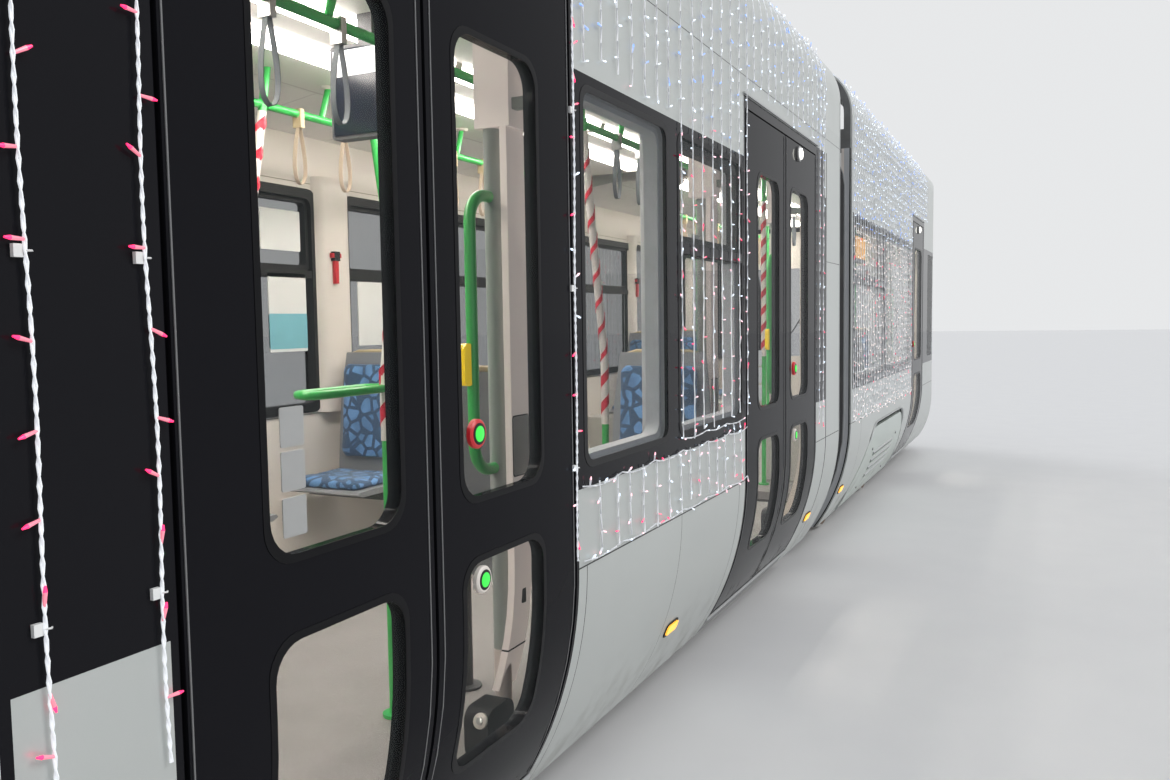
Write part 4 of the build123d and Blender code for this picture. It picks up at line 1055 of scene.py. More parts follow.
def window_trim(work, side, x0, x1, hopper):
    """Rubber round a window outside, a pale frame inside, and a hopper bar."""
    z0, z1 = WINDOW_Z
    work.use("rubber").ring(
        rounded(x0, z0, x1, z1, 0.056, grow=0.014),
        rounded(x0, z0, x1, z1, 0.040, grow=-0.008),
        beside(side, 0.0015),
        beside(side, -0.0002),
    )
    inner = HALF_WIDTH - WALL
    work.use("window_frame" if side < 0 else "rubber").ring(
        rounded(x0, z0, x1, z1, 0.070, grow=0.030),
        rounded(x0, z0, x1, z1, 0.045, grow=-0.020),
        facing_y(side * (inner - 0.012)),
        facing_y(side * (inner + 0.040)),
    )
    if not hopper:
        return

    def bar(kind, inset, outer_y, inner_y):
        work.use(kind).box((x0 + inset, x1 - inset), (side * outer_y, side * inner_y), HOPPER_Z)

    bar("black_gloss", 0.001, HALF_WIDTH + 0.002, HALF_WIDTH - 0.0005)
    bar("rubber", 0.002, HALF_WIDTH - 0.012, inner - 0.006)
    work.ring(
        rounded(x0 + 0.012, HOPPER_Z[1], x1 - 0.012, z1 - 0.012, 0.035),
        rounded(x0 + 0.042, HOPPER_Z[1] + 0.028, x1 - 0.042, z1 - 0.042, 0.022),
        facing_y(side * (HALF_WIDTH - 0.0125)),
        facing_y(side * (inner + 0.012)),
    )
    middle, depths = (x0 + x1) / 2, (side * (inner - 0.006), side * (inner - 0.022))
    work.use("steel").box((middle - 0.05, middle + 0.05), depths, (2.005, 2.025))


def marker(work, side, x):
    """An amber side lamp on a black base."""
    lens = (x - 0.055, 0.440, x + 0.055, 0.480)
    base = rounded(*lens, 0.02, grow=0.009)
    work.use("rubber").prism(base, beside(side, 0.004), beside(side, -0.004))
    work.use("amber").prism(rounded(*lens, 0.015), beside(side, 0.010), beside(side, 0.0035))


def arch_line(centre, side, out):
    """The path round a wheel cover, just inside its edge, with its corners rounded."""
    corners = [(-u, v) for u, v in ARCH_EDGE] + list(ARCH_EDGE[::-1])
    path = [corners[0]]
    for n, radius in enumerate((0.06, 0.32, 0.32, 0.06), 1):
        before, here, after = (Vector(corners[n + k]) for k in (-1, 0, 1))
        into, away = (here - before).normalized(), (after - here).normalized()
        reach = radius * math.tan(into.angle(away) / 2)
        a, b = here - into * reach, here + away * reach
        path += [a.lerp(here, share).lerp(here.lerp(b, share), share) for share in spaced(0, 1, 8)]
    path.append(corners[-1])
    return [(centre + u, side * skin_y(v, out), v) for u, v in path]


def side_trim(kind):
    """What both sides of a section carry outside."""
    work = Work()
    start, end = SECTIONS[kind]
    for side, x0, x1, hopper in WINDOWS[kind]:
        window_trim(work, side, x0, x1, hopper)
    for side in (-1, 1):
        for x in MARKERS[kind]:
            marker(work, side, x)
        work.use("alloy")
        for x0, x1 in ((start + 0.002, start + 0.014), (end - 0.014, end - 0.002)):
            if kind != "cab_section" or x0 < CAB_START + 1:
                work.upright(side, x0, x1, 0.215, 3.05, 0.0015, 0.006)
    if kind != "door_section":
        centre = 0.0 if kind == "middle" else BOGIE_X
        for side in (-1, 1):
            work.use("alloy").tube(arch_line(centre, side, 0.002), 0.011, 6, squash=0.5)
            for n in range(4):
                z = LOUVRE_TOP - n * LOUVRE_STEP
                y = side * skin_y(z, 0.001)
                work.bar((centre - 0.530, y, z), (centre + 0.530, y, z), 0.010, squash=0.7)
            work.use("dark_metal")
            for x, z in COVER_BOLTS:
                spot = (centre + x, side * skin_y(z, -0.001), z)
                work.turned(spot, (0, side, 0), [(0, 0.012), (0.004, 0.012), (0.005, 0.009)], 10)
    return work


class TRAM_OT_body_trim(bpy.types.Operator):
    """Add window rubbers and frames, hopper bars, marker lamps and cover edges"""

    bl_idname = "tram.body_trim"
    bl_label = "Body trim"

    def execute(self, context):
        for kind in SECTION_KINDS:
            side_trim(kind).build_all("trim", kind)
        return {"FINISHED"}


# Door trim
BUTTON_Z = 1.410
LOW_BUTTON_Z = 1.050
SEAL_HALF = 0.0015
LOW_PANE_Z = (0.565, 1.100)
OUTWARDS = (0, -1, 0)


def door_button(work, x, z, rim, radius):
    """A round button with a green heart in a dark ring."""
    spot = (x, -skin_y(z, -0.001), z)
    rings = (
        (rim, 24, ((0, 1.0), (0.010, 1.0), (0.014, 0.86), (0.014, 0.6))),
        ("rubber", 24, ((0.008, 0.74), (0.0150, 0.74), (0.0155, 0.70))),
        ("button_green", 20, ((0.008, 0.56), (0.0165, 0.54), (0.0185, 0.35))),
    )
    for kind, sides, profile in rings:
        steps = [(out, radius * share) for out, share in profile]
        work.use(kind).turned(spot, OUTWARDS, steps, sides)


def leaf_seals(work, edges):
    """Thin lips of the door rubbers, one each side of every seam; their pale grey is a painted
    highlight.
    """
    work.use("seal_edge")
    low, high = DOOR_Z[0] + 0.015, DOOR_Z[1] - 0.015
    for x in edges:
        work.upright(-1, x - SEAL_HALF, x + SEAL_HALF, low, high, 0.0022, 0.004)


def pane_ring(work, x0, x1, z0, z1):
    """The dark edge of a door pane."""
    outline = divided(rounded(x0, z0, x1, z1, 0.070, 6))
    middle, spans = ((x0 + x1) / 2, (z0 + z1) / 2), ((x1 - x0) / 2, (z1 - z0) / 2)

    def grown(by):
        return [
            tuple(m + (p - m) * (1 + by / s) for p, m, s in zip(point, middle, spans))
            for point in outline
        ]

    work.use("pane_black")
    work.ring(grown(0.010), grown(-0.006), beside(-1, 0.0014), beside(-1, -0.0004))


def doorway_trim(work, start, width, leaves):
    """Seals, pane rings, lamp and gutter of one doorway."""
    leaf = (width - (leaves + 1) * LEAF_CLEARANCE) / leaves
    edges = [start + 0.020, start + width - 0.020]
    if leaves == 2:
        middle = start + width / 2
        edges += [middle - 0.026, middle + 0.026]
    leaf_seals(work, edges)
    for n in range(leaves):
        a = start + LEAF_CLEARANCE + n * (leaf + LEAF_CLEARANCE)
        left, right = 0.150, 0.150
        if leaves == 2:
            left, right = (0.190, 0.110) if n == 0 else (0.110, 0.190)
        for z0, z1 in (LOW_PANE_Z, WINDOW_Z):
            pane_ring(work, a + left, a + leaf - right, z0, z1)
    end = start + width
    gutter = (-HALF_WIDTH - 0.010, -HALF_WIDTH + 0.004)
    work.use("alloy").box((start - 0.03, end + 0.03), gutter, (2.672, 2.680))
    sill = (-skin_y(0.275, 0.004), -skin_y(0.275, -0.03))
    work.box((start - 0.02, end + 0.02), sill, (0.268, 0.282))
    lamp_x = start + width / 2 + (0.28 if leaves == 2 else 0.0)
    spot = (lamp_x, -HALF_WIDTH - 0.001, 2.560)
    rim = ((0, 0.040), (0.010, 0.040), (0.014, 0.034))
    lens = ((0.010, 0.031), (0.020, 0.029), (0.024, 0.016))
    work.use("steel").turned(spot, OUTWARDS, rim, 24)
    work.use("door_lamp").turned(spot, OUTWARDS, lens, 20)


def column_trim(work, x, towards):
    """Beside a turning column: its casing with a head and a latch, a pivot block, a blank plate."""
    x0, x1 = sorted((x - towards * 0.071, x + towards * 0.030))
    out = -0.160
    work.use("casing").upright(-1, x0, x1, 0.575, 2.30, out, 0.022, 0.08)
    work.upright(-1, x0 - 0.004, x1 + 0.004, 2.235, 2.610, out + 0.012, 0.115)
    work.use("rubber").upright(-1, x0 - 0.001, x1 + 0.001, 0.700, 0.705, out + 0.001, 0.023)
    latch, face = x - towards * 0.028, skin_y(0.86, out)
    outline = rounded(latch - 0.011, 0.838, latch + 0.011, 0.882, 0.003, 2)
    work.prism(outline, facing_y(-face - 0.0015), facing_y(-face + 0.010))
    block = x + towards * 0.075
    outline = rounded(block - 0.076, 0.405, block + 0.076, 0.560, 0.040, 5)
    work.prism(outline, facing_y(-0.985), facing_y(-0.905))
    bolt, way = (block + towards * 0.072, -0.962, 0.531), (towards * 0.93, 0, 0.37)
    work.use("cream").turned(bolt, way, [(-0.004, 0.023), (0.007, 0.023), (0.009, 0.020)], 24)
    work.use("steel").turned(bolt, way, [(0.008, 0.012), (0.013, 0.012), (0.014, 0.009)], 6)
    plate, face = (x0 + 0.003, 1.225, x1 - 0.003, 1.405), skin_y(1.3, out)
    outline = rounded(*plate, 0.010, 3)
    work.use("rubber").prism(outline, facing_y(-face - 0.0012), facing_y(-face + 0.002))
    outline = rounded(*plate, 0.008, 3, grow=-0.003)
    work.use("white_plate").prism(outline, facing_y(-face - 0.0020), facing_y(-face))
    bow = x + towards * 0.158
    outline = rounded(bow - 0.022, 1.500, bow + 0.022, 1.620, 0.021, 6)
    work.use("yellow").prism(outline, facing_y(-0.956), facing_y(-0.938))


def door_plates(work, x0, places, half):
    """Blank square plates behind the pane, one over the other."""
    work.use("white_plate")
    for z in places:
        outline = rounded(x0, z - half, x0 + 0.062, z + half, 0.004, 2)
        work.prism(outline, facing_y(0.0125 - HALF_WIDTH), facing_y(0.0145 - HALF_WIDTH))


class TRAM_OT_door_trim(bpy.types.Operator):
    """Add door seals, pane rings, buttons, lamps, column fittings and blank plates"""

    bl_idname = "tram.door_trim"
    bl_label = "Door trim"

    def execute(self, context):
        work = Work()
        for start in DOORS:
            doorway_trim(work, start, DOOR_WIDTH, 2)
            button = start + 0.890
            door_button(work, button, BUTTON_Z, "red_paint", 0.036)
            door_button(work, button + 0.012, LOW_BUTTON_Z, "cream", 0.034)
            column_trim(work, start + 0.060, 1)
            column_trim(work, start + DOOR_WIDTH - 0.060, -1)
            door_plates(work, start + 0.255, (1.490, 1.408, 1.322), 0.037)
        work.build_all("door_trim", "door_section")
        work = Work()
        doorway_trim(work, *CAB_DOOR, 1)
        door_button(work, CAB_DOOR[0] + 0.07, BUTTON_Z, "red_paint", 0.030)
        work.build_all("door_trim", "cab_section")
        return {"FINISHED"}


# Inside fittings
STRAP_MIDDLE = 2.4175
STRAP_REACH = 0.1275
WRAP_END = 2.545
# Wrapped posts: place, side, lean above LEAN_Z and the height where the wrap starts
SCREENS = (DOORS[0] + DOOR_WIDTH + 0.020, DOORS[1] - 0.020)
WRAPS = {
    "door_section": (
        (SCREENS[0], -1, LEAN, 1.30),
        (SCREENS[1], -1, -LEAN, 1.18),
        (DOOR_MIDDLE - 0.560, 1, LEAN, 1.50),
    ),
    "cab_section": ((CAB_START + 0.300, -1, 0.0, 1.40),),
}
HAND_LOOP = (3.965, SCREENS[0], 1.470)
MONITOR = (-0.450, 2.315, -0.165, 2.630)
MONITOR_X = (4.450, DOOR_MIDDLE * 2 - 4.450)
HAMMER_Z = 1.985
HAMMERS = {
    "door_section": ((DOOR_MIDDLE + 0.720, 1), (DOOR_MIDDLE - 0.750, 1)),
    "cab_section": ((10.035, 1), (10.035, -1)),
}
# Blank notices on the left wall: start, end, foot, head and, for a second tint, its upper edge
NOTICES = (
    (5.390, 5.670, 2.060, 2.265),
    (5.430, 5.700, 1.545, 1.945, 1.74),
    (6.120, 6.420, 1.560, 1.920),
)
SIDE_DISPLAY = ((8.80, 9.56), (-1.095, -1.045), (2.100, 2.310))
SIDE_FIELD = ((8.83, 9.53), (-1.100, -1.094), (2.125, 2.285))
LEFT_DIFFUSER = ((-0.070, 0.0), (-0.062, -0.020), (-0.035, -0.030))
DIFFUSER = LEFT_DIFFUSER + tuple((-u, v) for u, v in LEFT_DIFFUSER[::-1])
# Height and swelling of the linings over the window posts
PILLAR_LEVELS = ((1.215, 0.5), (1.24, 0.35), (1.30, 0.0), (2.34, 0.0), (2.40, 0.2), (2.46, 0.4))
RAILS = {
    "middle": ((-1, -1.45, 1.45), (1, -1.45, 1.45)),
    "door_section": ((-1, 2.95, 7.35), (1, 2.95, 7.35)),
    "cab_section": ((-1, 8.90, 12.45), (1, 8.90, 12.45)),
}


def strap(work, x, side, kind):
    """A clip on the rail and a loop of flat webbing hanging from it."""
    y = side * POST_Y
    work.use("steel" if kind == "strap_grey" else "tan")
    work.box((x - 0.012, x + 0.012), (y - 0.022, y + 0.022), (RAIL_Z - 0.058, RAIL_Z + 0.021))
    rings = []
    half = Vector((0, 0.010, 0))
    for turn in circle(22):
        wide = 0.046 * math.sin(turn) * (0.62 - 0.38 * math.cos(turn))
        tall = STRAP_REACH * math.cos(turn) - 0.01
        out = Vector((wide, 0, tall)).normalized() * 0.0016
        spot = Vector((x + wide, y, STRAP_MIDDLE + tall))
        rings.append(band(spot - out, spot + out, half))
    work.use(kind).loft(rings, closed=True)


def post_spine(x, side, lean):
    """The middle of a post that leans above LEAN_Z, at a height."""
    share = lean / (2.730 + POST_RADIUS - LEAN_Z)
    return lambda z: (x + max(0.0, z - LEAN_Z) * share, side * POST_Y, z)


def wrap_post(work, x, side, lean, start):
    """White tape round a post with a red spiral over it."""
    spine = post_spine(x, side, lean)
    path = [spine(z) for z in spaced(start, WRAP_END, 12)]
    work.use("white_tape").tube(path, POST_RADIUS + 0.0022, 14)
    work.use("red_tape")
    work.spiral(spine, start + 0.03, WRAP_END - 0.03, POST_RADIUS + 0.0018, 0.125, 0.052, 0.0016)


def ceiling_lights(work, x0, x1):
    """Two rows of long diffusers under the ceiling, with pale end caps."""
    pieces = max(1, round((x1 - x0) / 1.25))
    step = (x1 - x0) / pieces

    def section(x, y, width=1.0, depth=1.0):
        return [(x, y + u * width, CEILING_Z - 0.0005 + v * depth) for u, v in DIFFUSER]

    for y in (-0.17, 0.17):
        for n in range(pieces):
            ends = (x0 + n * step + 0.012, x0 + (n + 1) * step - 0.012)
            work.use("light_strip").loft([section(x, y) for x in ends])
            for x in ends:
                cap = [section(x + reach, y, 1.06, 1.1) for reach in (-0.011, 0.011)]
                work.use("cream").loft(cap)


def hangers(work, side, x0, x1):
    """Short bars that hold a ceiling rail."""
    y = side * POST_Y
    for x in spaced(x0 + 0.06, x1 - 0.06, max(2, round((x1 - x0) / 1.1))):
        top = x + 0.05
        work.use("rail_paint").bar((x, y, RAIL_Z + 0.012), (top, y, CEILING_Z - 0.001), 0.014, 10)
        work.use("cream").turned((top, y, CEILING_Z - 0.014), UP, [(0, 0.030), (0.0135, 0.036)])


def monitor(work, x):
    """A blank information screen under the ceiling: a dark box with a pale upper field."""
    y0, _, y1, z1 = MONITOR
    work.use("dark_metal").prism(rounded(*MONITOR, 0.012), facing_x(x + 0.004), facing_x(x + 0.055))
    outline = rounded(*MONITOR, 0.006, grow=-0.012)
    work.use("screen_glass").prism(outline, facing_x(x), facing_x(x + 0.005))
    field = ((x - 0.001, x + 0.001), (y0 + 0.016, y1 - 0.016), (z1 - 0.105, z1 - 0.018))
    work.use("screen_white").box(*field)
    middle = (y0 + y1) / 2
    stem = ((x + 0.015, x + 0.045), (middle - 0.03, middle + 0.03), (z1 - 0.01, CEILING_Z))
    work.use("dark_metal").box(*stem)


def hammer(work, x, side):
    """An emergency hammer in its dark holder."""
    wall = HALF_WIDTH - WALL - 0.052

    def block(kind, half, deep, z):
        near, far = (side * (wall - depth) for depth in deep)
        low, high = (HAMMER_Z + height for height in z)
        work.use(kind).box((x - half, x + half), (near, far), (low, high))

    block("rubber", 0.022, (0.0, 0.028), (0.035, 0.085))
    block("red_paint", 0.013, (0.004, 0.024), (-0.085, 0.040))
    block("red_paint", 0.034, (0.006, 0.026), (0.052, 0.076))
    tip = (x + 0.034, side * (wall - 0.016), HAMMER_Z + 0.064)
    work.use("steel").turned(tip, AHEAD, [(0, 0.008), (0.012, 0.002)], 10)


def notice(work, x0, x1, z0, z1, split=None):
    """A blank plate inside the left wall; a split gives its lower part another tint."""
    y = HALF_WIDTH - WALL - 0.004

    def plate(kind, low, high, lift):
        outline = rounded(x0, low, x1, high, 0.006, 2)
        work.use(kind).prism(outline, facing_y(y - lift), facing_y(y + 0.004))

    plate("white_plate", z0, z1, 0.002)
    if split:
        plate("pale_plate", z0 + 0.015, split, 0.003)


def rail_loop(work, x0, x1, z):
    """A flat hairpin rail at the height of a hand, from a right post towards the doorway."""
    near, half = -POST_Y - 0.001, 0.045
    path = [(x1, near, z)]
    for turn in spaced(0, math.pi, 8):
        path.append((x0 + half * (1 - math.sin(turn)), near + half * (1 - math.cos(turn)), z))
    path += [(x1, near + 2 * half, z), (x1 + 0.03, near + half, z)]
    work.use("rail_paint").tube(path, 0.0135, 10)


def inside_pillars(work, kind):
    """Rounded linings over the posts between windows, wider than the posts themselves."""
    panes = sorted(WINDOWS[kind])
    for (side, _, x1, _), (other, x2, _, _) in zip(panes, panes[1:]):
        if side != other or x2 - x1 >= 0.30:
            continue
        pad, flare = (0.002, 0.1) if x2 - x1 > 0.10 else (0.035, 1.0)
        a, b = x1 - pad, x2 + pad
        middle = (a + b) / 2
        profile = [(a, 0.0), (a + 0.02, 0.040), (a + 0.05, 0.055)]
        profile += [(b - 0.05, 0.055), (b - 0.02, 0.040), (b, 0.0)]
        rings = []
        for z, more in PILLAR_LEVELS:
            swell = flare * more
            ring = []
            for x, depth in profile:
                y = HALF_WIDTH - WALL + 0.001 - depth * (1 + swell)
                ring.append((middle + (x - middle) * (1 + swell * 0.3), side * y, z))
            rings.append(ring)
        work.use("window_frame" if side < 0 else "cream").loft(rings)


def inside(kind):
    """What every section has inside: lights, linings, hangers and straps."""
    work = Work()
    start, end = SECTIONS[kind]
    if kind == "cab_section":
        ceiling_lights(work, start + 0.16, PARTITION_X - 0.16)
    else:
        ceiling_lights(work, start + 0.22, end - 0.22)
    inside_pillars(work, kind)
    for side, x0, x1 in RAILS[kind]:
        hangers(work, side, x0, x1)
        places = spaced(x0, x1, round((x1 - x0) / 0.30))
        for n, x in enumerate(places[1:-1], 1):
            if (n + (side > 0)) % 4 != 2:
                strap(work, x, side, "strap_beige" if side > 0 else "strap_grey")
    return work


class TRAM_OT_inside(bpy.types.Operator):
    """Add ceiling lights, straps, wrapped posts, screens, hammers, blank notices and linings"""

    bl_idname = "tram.inside"
    bl_label = "Inside fittings"

    def execute(self, context):
        for kind in SECTION_KINDS:
            work = inside(kind)
            for wrap in WRAPS.get(kind, ()):
                wrap_post(work, *wrap)
            if kind == "door_section":
                rail_loop(work, *HAND_LOOP)
                for x in MONITOR_X:
                    monitor(work, x)
                for place in NOTICES:
                    notice(work, *place)
            if kind == "cab_section":
                work.use("dark_metal").box(*SIDE_DISPLAY)
                work.use("amber").box(*SIDE_FIELD)
            for x, side in HAMMERS.get(kind, ()):
                hammer(work, x, side)
            work.build_all("inside", kind)
        return {"FINISHED"}


# Seats
PODIUM_SEATS = ((-0.82, -1), (-0.25, 1), (0.25, -1), (0.82, 1))
DOOR_SEATS = (
    (DOORS[0] + DOOR_WIDTH + 0.330, -1, 1),
    (DOORS[1] - 0.330, -1, -1),
    (DOOR_START + 1.000, 1, 1),
    (DOOR_START + 1.900, 1, -1),
    (DOOR_START + 2.500, 1, 1),
    (DOOR_MIDDLE + 0.500, 1, -1),
    (DOOR_END - 1.900, 1, 1),
    (DOOR_END - 1.000, 1, -1),
)
SEAT_Y = 0.800
PODIUM_Z = 0.8803
LOW_BASE_Z = 0.840
CHAIR_HALF = 0.240
CHAIR_TALL = 0.690
CHAIR_LEAN = 0.060
CHAIR_BASE = ((-0.172, 0.004), (-0.172, 0.030), (0.10, 0.034))
CHAIR_BASE += ((0.222, 0.030), (0.232, 0.018), (0.20, 0.004))
# The handle over the back: place behind, share of the half width, height from the top
GRIP = ((-0.260, -0.72, -0.050), (-0.260, -0.70, -0.005), (-0.262, -0.55, 0.004))
GRIP += ((-0.262, 0.0, 0.004), (-0.262, 0.55, 0.004))
GRIP += ((-0.262, 0.70, -0.005), (-0.262, 0.72, -0.050))
DRIVER_PLACE = (13.330, 0.880)
CLOTH_STEPS = 20
CLOTH_VOXEL = 0.012
CLOTH_CAP = 0.012


def seat_places(kind):
    """x, side, facing and base height of every passenger place of a section."""
    if kind == "door_section":
        return [(x, side, facing, LOW_BASE_Z) for x, side, facing in DOOR_SEATS]
    centre = 0.0 if kind == "middle" else BOGIE_X
    return [(centre + x, side, facing, PODIUM_Z) for side in (-1, 1) for x, facing in PODIUM_SEATS]


def pad_form(length, width, thick, corner):
    """A closed block with round corners and crowned faces, as the start of a pad."""
    outline = rounded(-length / 2, -width / 2, length / 2, width / 2, corner, 5)
    levels = ((-0.5, 0.90), (-0.30, 1.0), (0.30, 1.0), (0.5, 0.90))
    rings = [[(u * s, v * s, thick * t) for u, v in outline] for t, s in levels]
    work = Work("pebble_cloth")
    work.loft(rings)
    return work


def swell(piece):
    """Cloth under pressure on a remeshed copy; no point moves further than CLOTH_CAP."""
    bpy.context.view_layer.objects.active = piece
    piece.select_set(True)
    remesh = piece.modifiers.new("remesh", "REMESH")
    remesh.mode = "VOXEL"
    remesh.voxel_size = CLOTH_VOXEL
    bpy.ops.object.modifier_apply(modifier="remesh")
    rest = [vertex.co.copy() for vertex in piece.data.vertices]
    cloth = piece.modifiers.new("cloth", "CLOTH")
    cloth.settings.use_pressure = True
    cloth.settings.uniform_pressure_force = 4.0
    cloth.settings.effector_weights.gravity = 0.0
    cloth.point_cache.frame_start = 1
    cloth.point_cache.frame_end = CLOTH_STEPS
    for step in range(1, CLOTH_STEPS + 1):
        bpy.context.scene.frame_set(step)
    bpy.ops.object.modifier_apply(modifier="cloth")
    bpy.context.scene.frame_set(1)
    for vertex, start in zip(piece.data.vertices, rest):
        shift = vertex.co - start
        if shift.length > CLOTH_CAP:
            vertex.co = start + shift.normalized() * CLOTH_CAP
    thin = piece.modifiers.new("thin", "DECIMATE")
    thin.ratio = 0.5
    bpy.ops.object.modifier_apply(modifier="thin")
    piece.select_set(False)


def pad_points(name, length, width, thick, corner, channels):
    """A swollen pad's points and faces, with sewn channels pressed in along the given lines."""
    piece = pad_form(length, width, thick, corner).build(name, None)
    swell(piece)
    for vertex in piece.data.vertices:
        x, _, z = vertex.co
        if abs(z) > thick * 0.28:
            press = sum(math.exp(-(((x - line) / 0.012) ** 2)) for line in channels)
            vertex.co.z = z - math.copysign(min(0.007, press * 0.007), z)
    points = [tuple(vertex.co) for vertex in piece.data.vertices]
    faces = [tuple(polygon.vertices) for polygon in piece.data.polygons]
    bpy.data.objects.remove(piece)
    return points, faces


def put(work, pad, spot, facing, tilt):
    """Adds a pad at a spot, turned to face along X and tilted back by tilt."""
    points, faces = pad
    turn = Matrix.Rotation(tilt, 3, "Y")
    placed = []
    for point in points:
        x, y, z = turn @ Vector(point)
        placed.append((spot[0] + facing * x, spot[1] + y, spot[2] + z))
    work.add(placed, faces)


def chair_frame(work, x, y, z, facing):
    """The moulded grey back and base of a passenger place, with its handle."""
    half = CHAIR_HALF

    def at(u, v, w):
        return (x + facing * u, y + v, z + w)

    base = [[at(u, half * share, w) for u, w in CHAIR_BASE] for share in (-1, -0.5, 0.5, 1)]
    work.use("stone_grey").loft(base)
    rows = []
    for share in spaced(0, 1, 8):
        w = 0.02 + (CHAIR_TALL - 0.02) * share
        lean = -0.178 - CHAIR_LEAN * share
        reach = half * (1.0 - 0.16 * max(0.0, share - 0.55) ** 1.3 / 0.45)
        belly = 0.012 * math.sin(math.pi * share)
        row = [at(lean - 0.004 - 0.010 * v * v, reach * v, w) for v in spaced(-1, 1, 6)]
        row += [at(lean - 0.030 - belly + 0.008 * v * v, reach * v, w) for v in spaced(1, -1, 6)]
        rows.append(row)
    work.loft(rows)
    work.use("tan").tube([at(u, half * v, CHAIR_TALL + w) for u, v, w in GRIP], 0.011, 8)


def stand(work, x, side, z):
    """The cantilever under a low place, with one leg at the aisle."""
    arm = ((x - 0.028, x + 0.028), (side * 0.525, side * 1.055), (z - 0.040, z + 0.002))
    work.use("dark_metal").box(*arm)
    y, foot = side * 0.560, ((0, 0.055), (0.008, 0.055), (0.012, 0.03))
    work.bar((x, y, FLOOR_Z + 0.001), (x, y, z - 0.038), 0.026, 12)
    work.turned((x, y, FLOOR_Z + 0.0005), UP, foot, 18)


def passenger_places(kind, cushion, back):
    """The chairs of a section and, as a piece of their own, their pads."""
    shells, pads = Work(), Work("pebble_cloth")
    lean = math.atan2(CHAIR_LEAN, CHAIR_TALL)
    for x, side, facing, z in seat_places(kind):
        y = side * SEAT_Y
        chair_frame(shells, x, y, z, facing)
        if kind == "door_section":
            stand(shells, x, side, z)
        put(pads, cushion, (x + facing * 0.025, y, z + 0.052), facing, 0.0)
        put(pads, back, (x - facing * 0.186, y, z + 0.385), facing, -math.pi / 2 - lean)
    return shells, pads


def driver_pads():
    """The cushion and the tall back of the driver's chair."""
    x, z = DRIVER_PLACE
    work = Work("driver_cloth")
    low = pad_points("driver_form", 0.440, 0.500, 0.110, 0.06, (-0.05, 0.10))
    put(work, low, (x + 0.030, 0.0, z + 0.045), 1, 0.0)
    tall = pad_points("driver_back_form", 0.840, 0.510, 0.120, 0.08, (-0.20, 0.0, 0.20))
    put(work, tall, (x - 0.232, 0.0, z + 0.430), 1, -math.pi / 2 - math.atan2(0.060, 0.830))
    return work


class TRAM_OT_seats(bpy.types.Operator):
    """Add the passenger places: moulded backs, swollen pebble-patterned pads and handles"""

    bl_idname = "tram.seats"
    bl_label = "Passenger places"

    def execute(self, context):
        cushion = pad_points("cushion_form", 0.375, 0.430, 0.040, 0.05, (-0.10, 0.06))
        back = pad_points("back_form", 0.520, 0.400, 0.032, 0.05, (-0.12, 0.08))
        for kind in SECTION_KINDS:
            shells, pads = passenger_places(kind, cushion, back)
            for piece in shells.build_all("chairs", kind, "seat_cover"):
                node = piece.name.replace("chairs", "seats")
                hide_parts(node)
            for piece in pads.build_all("pads", kind, "seat_cover"):
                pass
        for piece in driver_pads().build_all("driver_pads", "cab_section", "seat_cover"):
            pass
        return {"FINISHED"}


# Bellows
FOLDS = 9
FOLD_DEPTH = 0.045
FOLD_STEPS = 6
FOLD_THICK = 0.004
BELLOWS_INSET = 0.045


def bellows_outline(inset):
    """The section of a bellows as seen along the tram; inset narrows it all round."""
    outer = (-HALF_WIDTH + BELLOWS_INSET, 0.300, HALF_WIDTH - BELLOWS_INSET, 2.900)
    outline = divided(rounded(*outer, 0.320 - inset, 6, grow=-inset), 0.20)
    limits = [skin_y(z, -BELLOWS_INSET - inset) for _, z in outline]
    return [(math.copysign(min(abs(y), limit), y), z) for (y, z), limit in zip(outline, limits)]


def bellows(x0, x1):
    """Folded rubber cloth between two clamp frames."""
    work = Work("fold_rubber", "alloy")
    outer, inner = bellows_outline(0.0), bellows_outline(FOLD_DEPTH)

    def cloth(lift):
        """One face of the cloth, lifted inwards."""
        rings = []
        for n, x in enumerate(spaced(x0 + 0.018, x1 - 0.018, FOLDS * FOLD_STEPS)):
            wave = (1 - math.cos(2 * math.pi * n / FOLD_STEPS)) / 2
            share = min(1.0, 0.10 + lift / FOLD_DEPTH + 0.90 * wave)
            ring = []
            for (y, z), (inner_y, inner_z) in zip(outer, inner):
                ring.append((x, y + (inner_y - y) * share, z + (inner_z - z) * share))
            rings.append(ring)
        return rings

    work.loft(cloth(0.0) + cloth(FOLD_THICK)[::-1], closed=True)
    work.use("alloy")
    deep = bellows_outline(FOLD_DEPTH + 0.012)
    for a, b in ((x0 + 0.0005, x0 + 0.017), (x1 - 0.017, x1 - 0.0005)):
        work.ring(outer, deep, facing_x(a), facing_x(b))
    return work


class TRAM_OT_bellows(bpy.types.Operator):
    """Replace the four plain bellows by folded ones"""

    bl_idname = "tram.bellows"
    bl_label = "Bellows"

    def execute(self, context):
        gangways = (
            ("inner", MIDDLE_END, DOOR_START, "middle_section", "{}_door_section"),
            ("outer", DOOR_END, CAB_START, "{}_door_section", "{}_cab_section"),
        )
        for row, x0, x1, near, far in gangways:
            work = bellows(x0, x1)
            for half, way in (("front", 1), ("rear", -1)):
                piece = work.build(f"{row}_{half}_gangway", None, "bellows_rubber", half == "rear")
                start, end = (way * x0, 0, 1), (way * x1, 0, 1)
                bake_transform(piece)
                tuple(start)
                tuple(end)
                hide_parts(f"{row}_{half}_bellows")
        return {"FINISHED"}


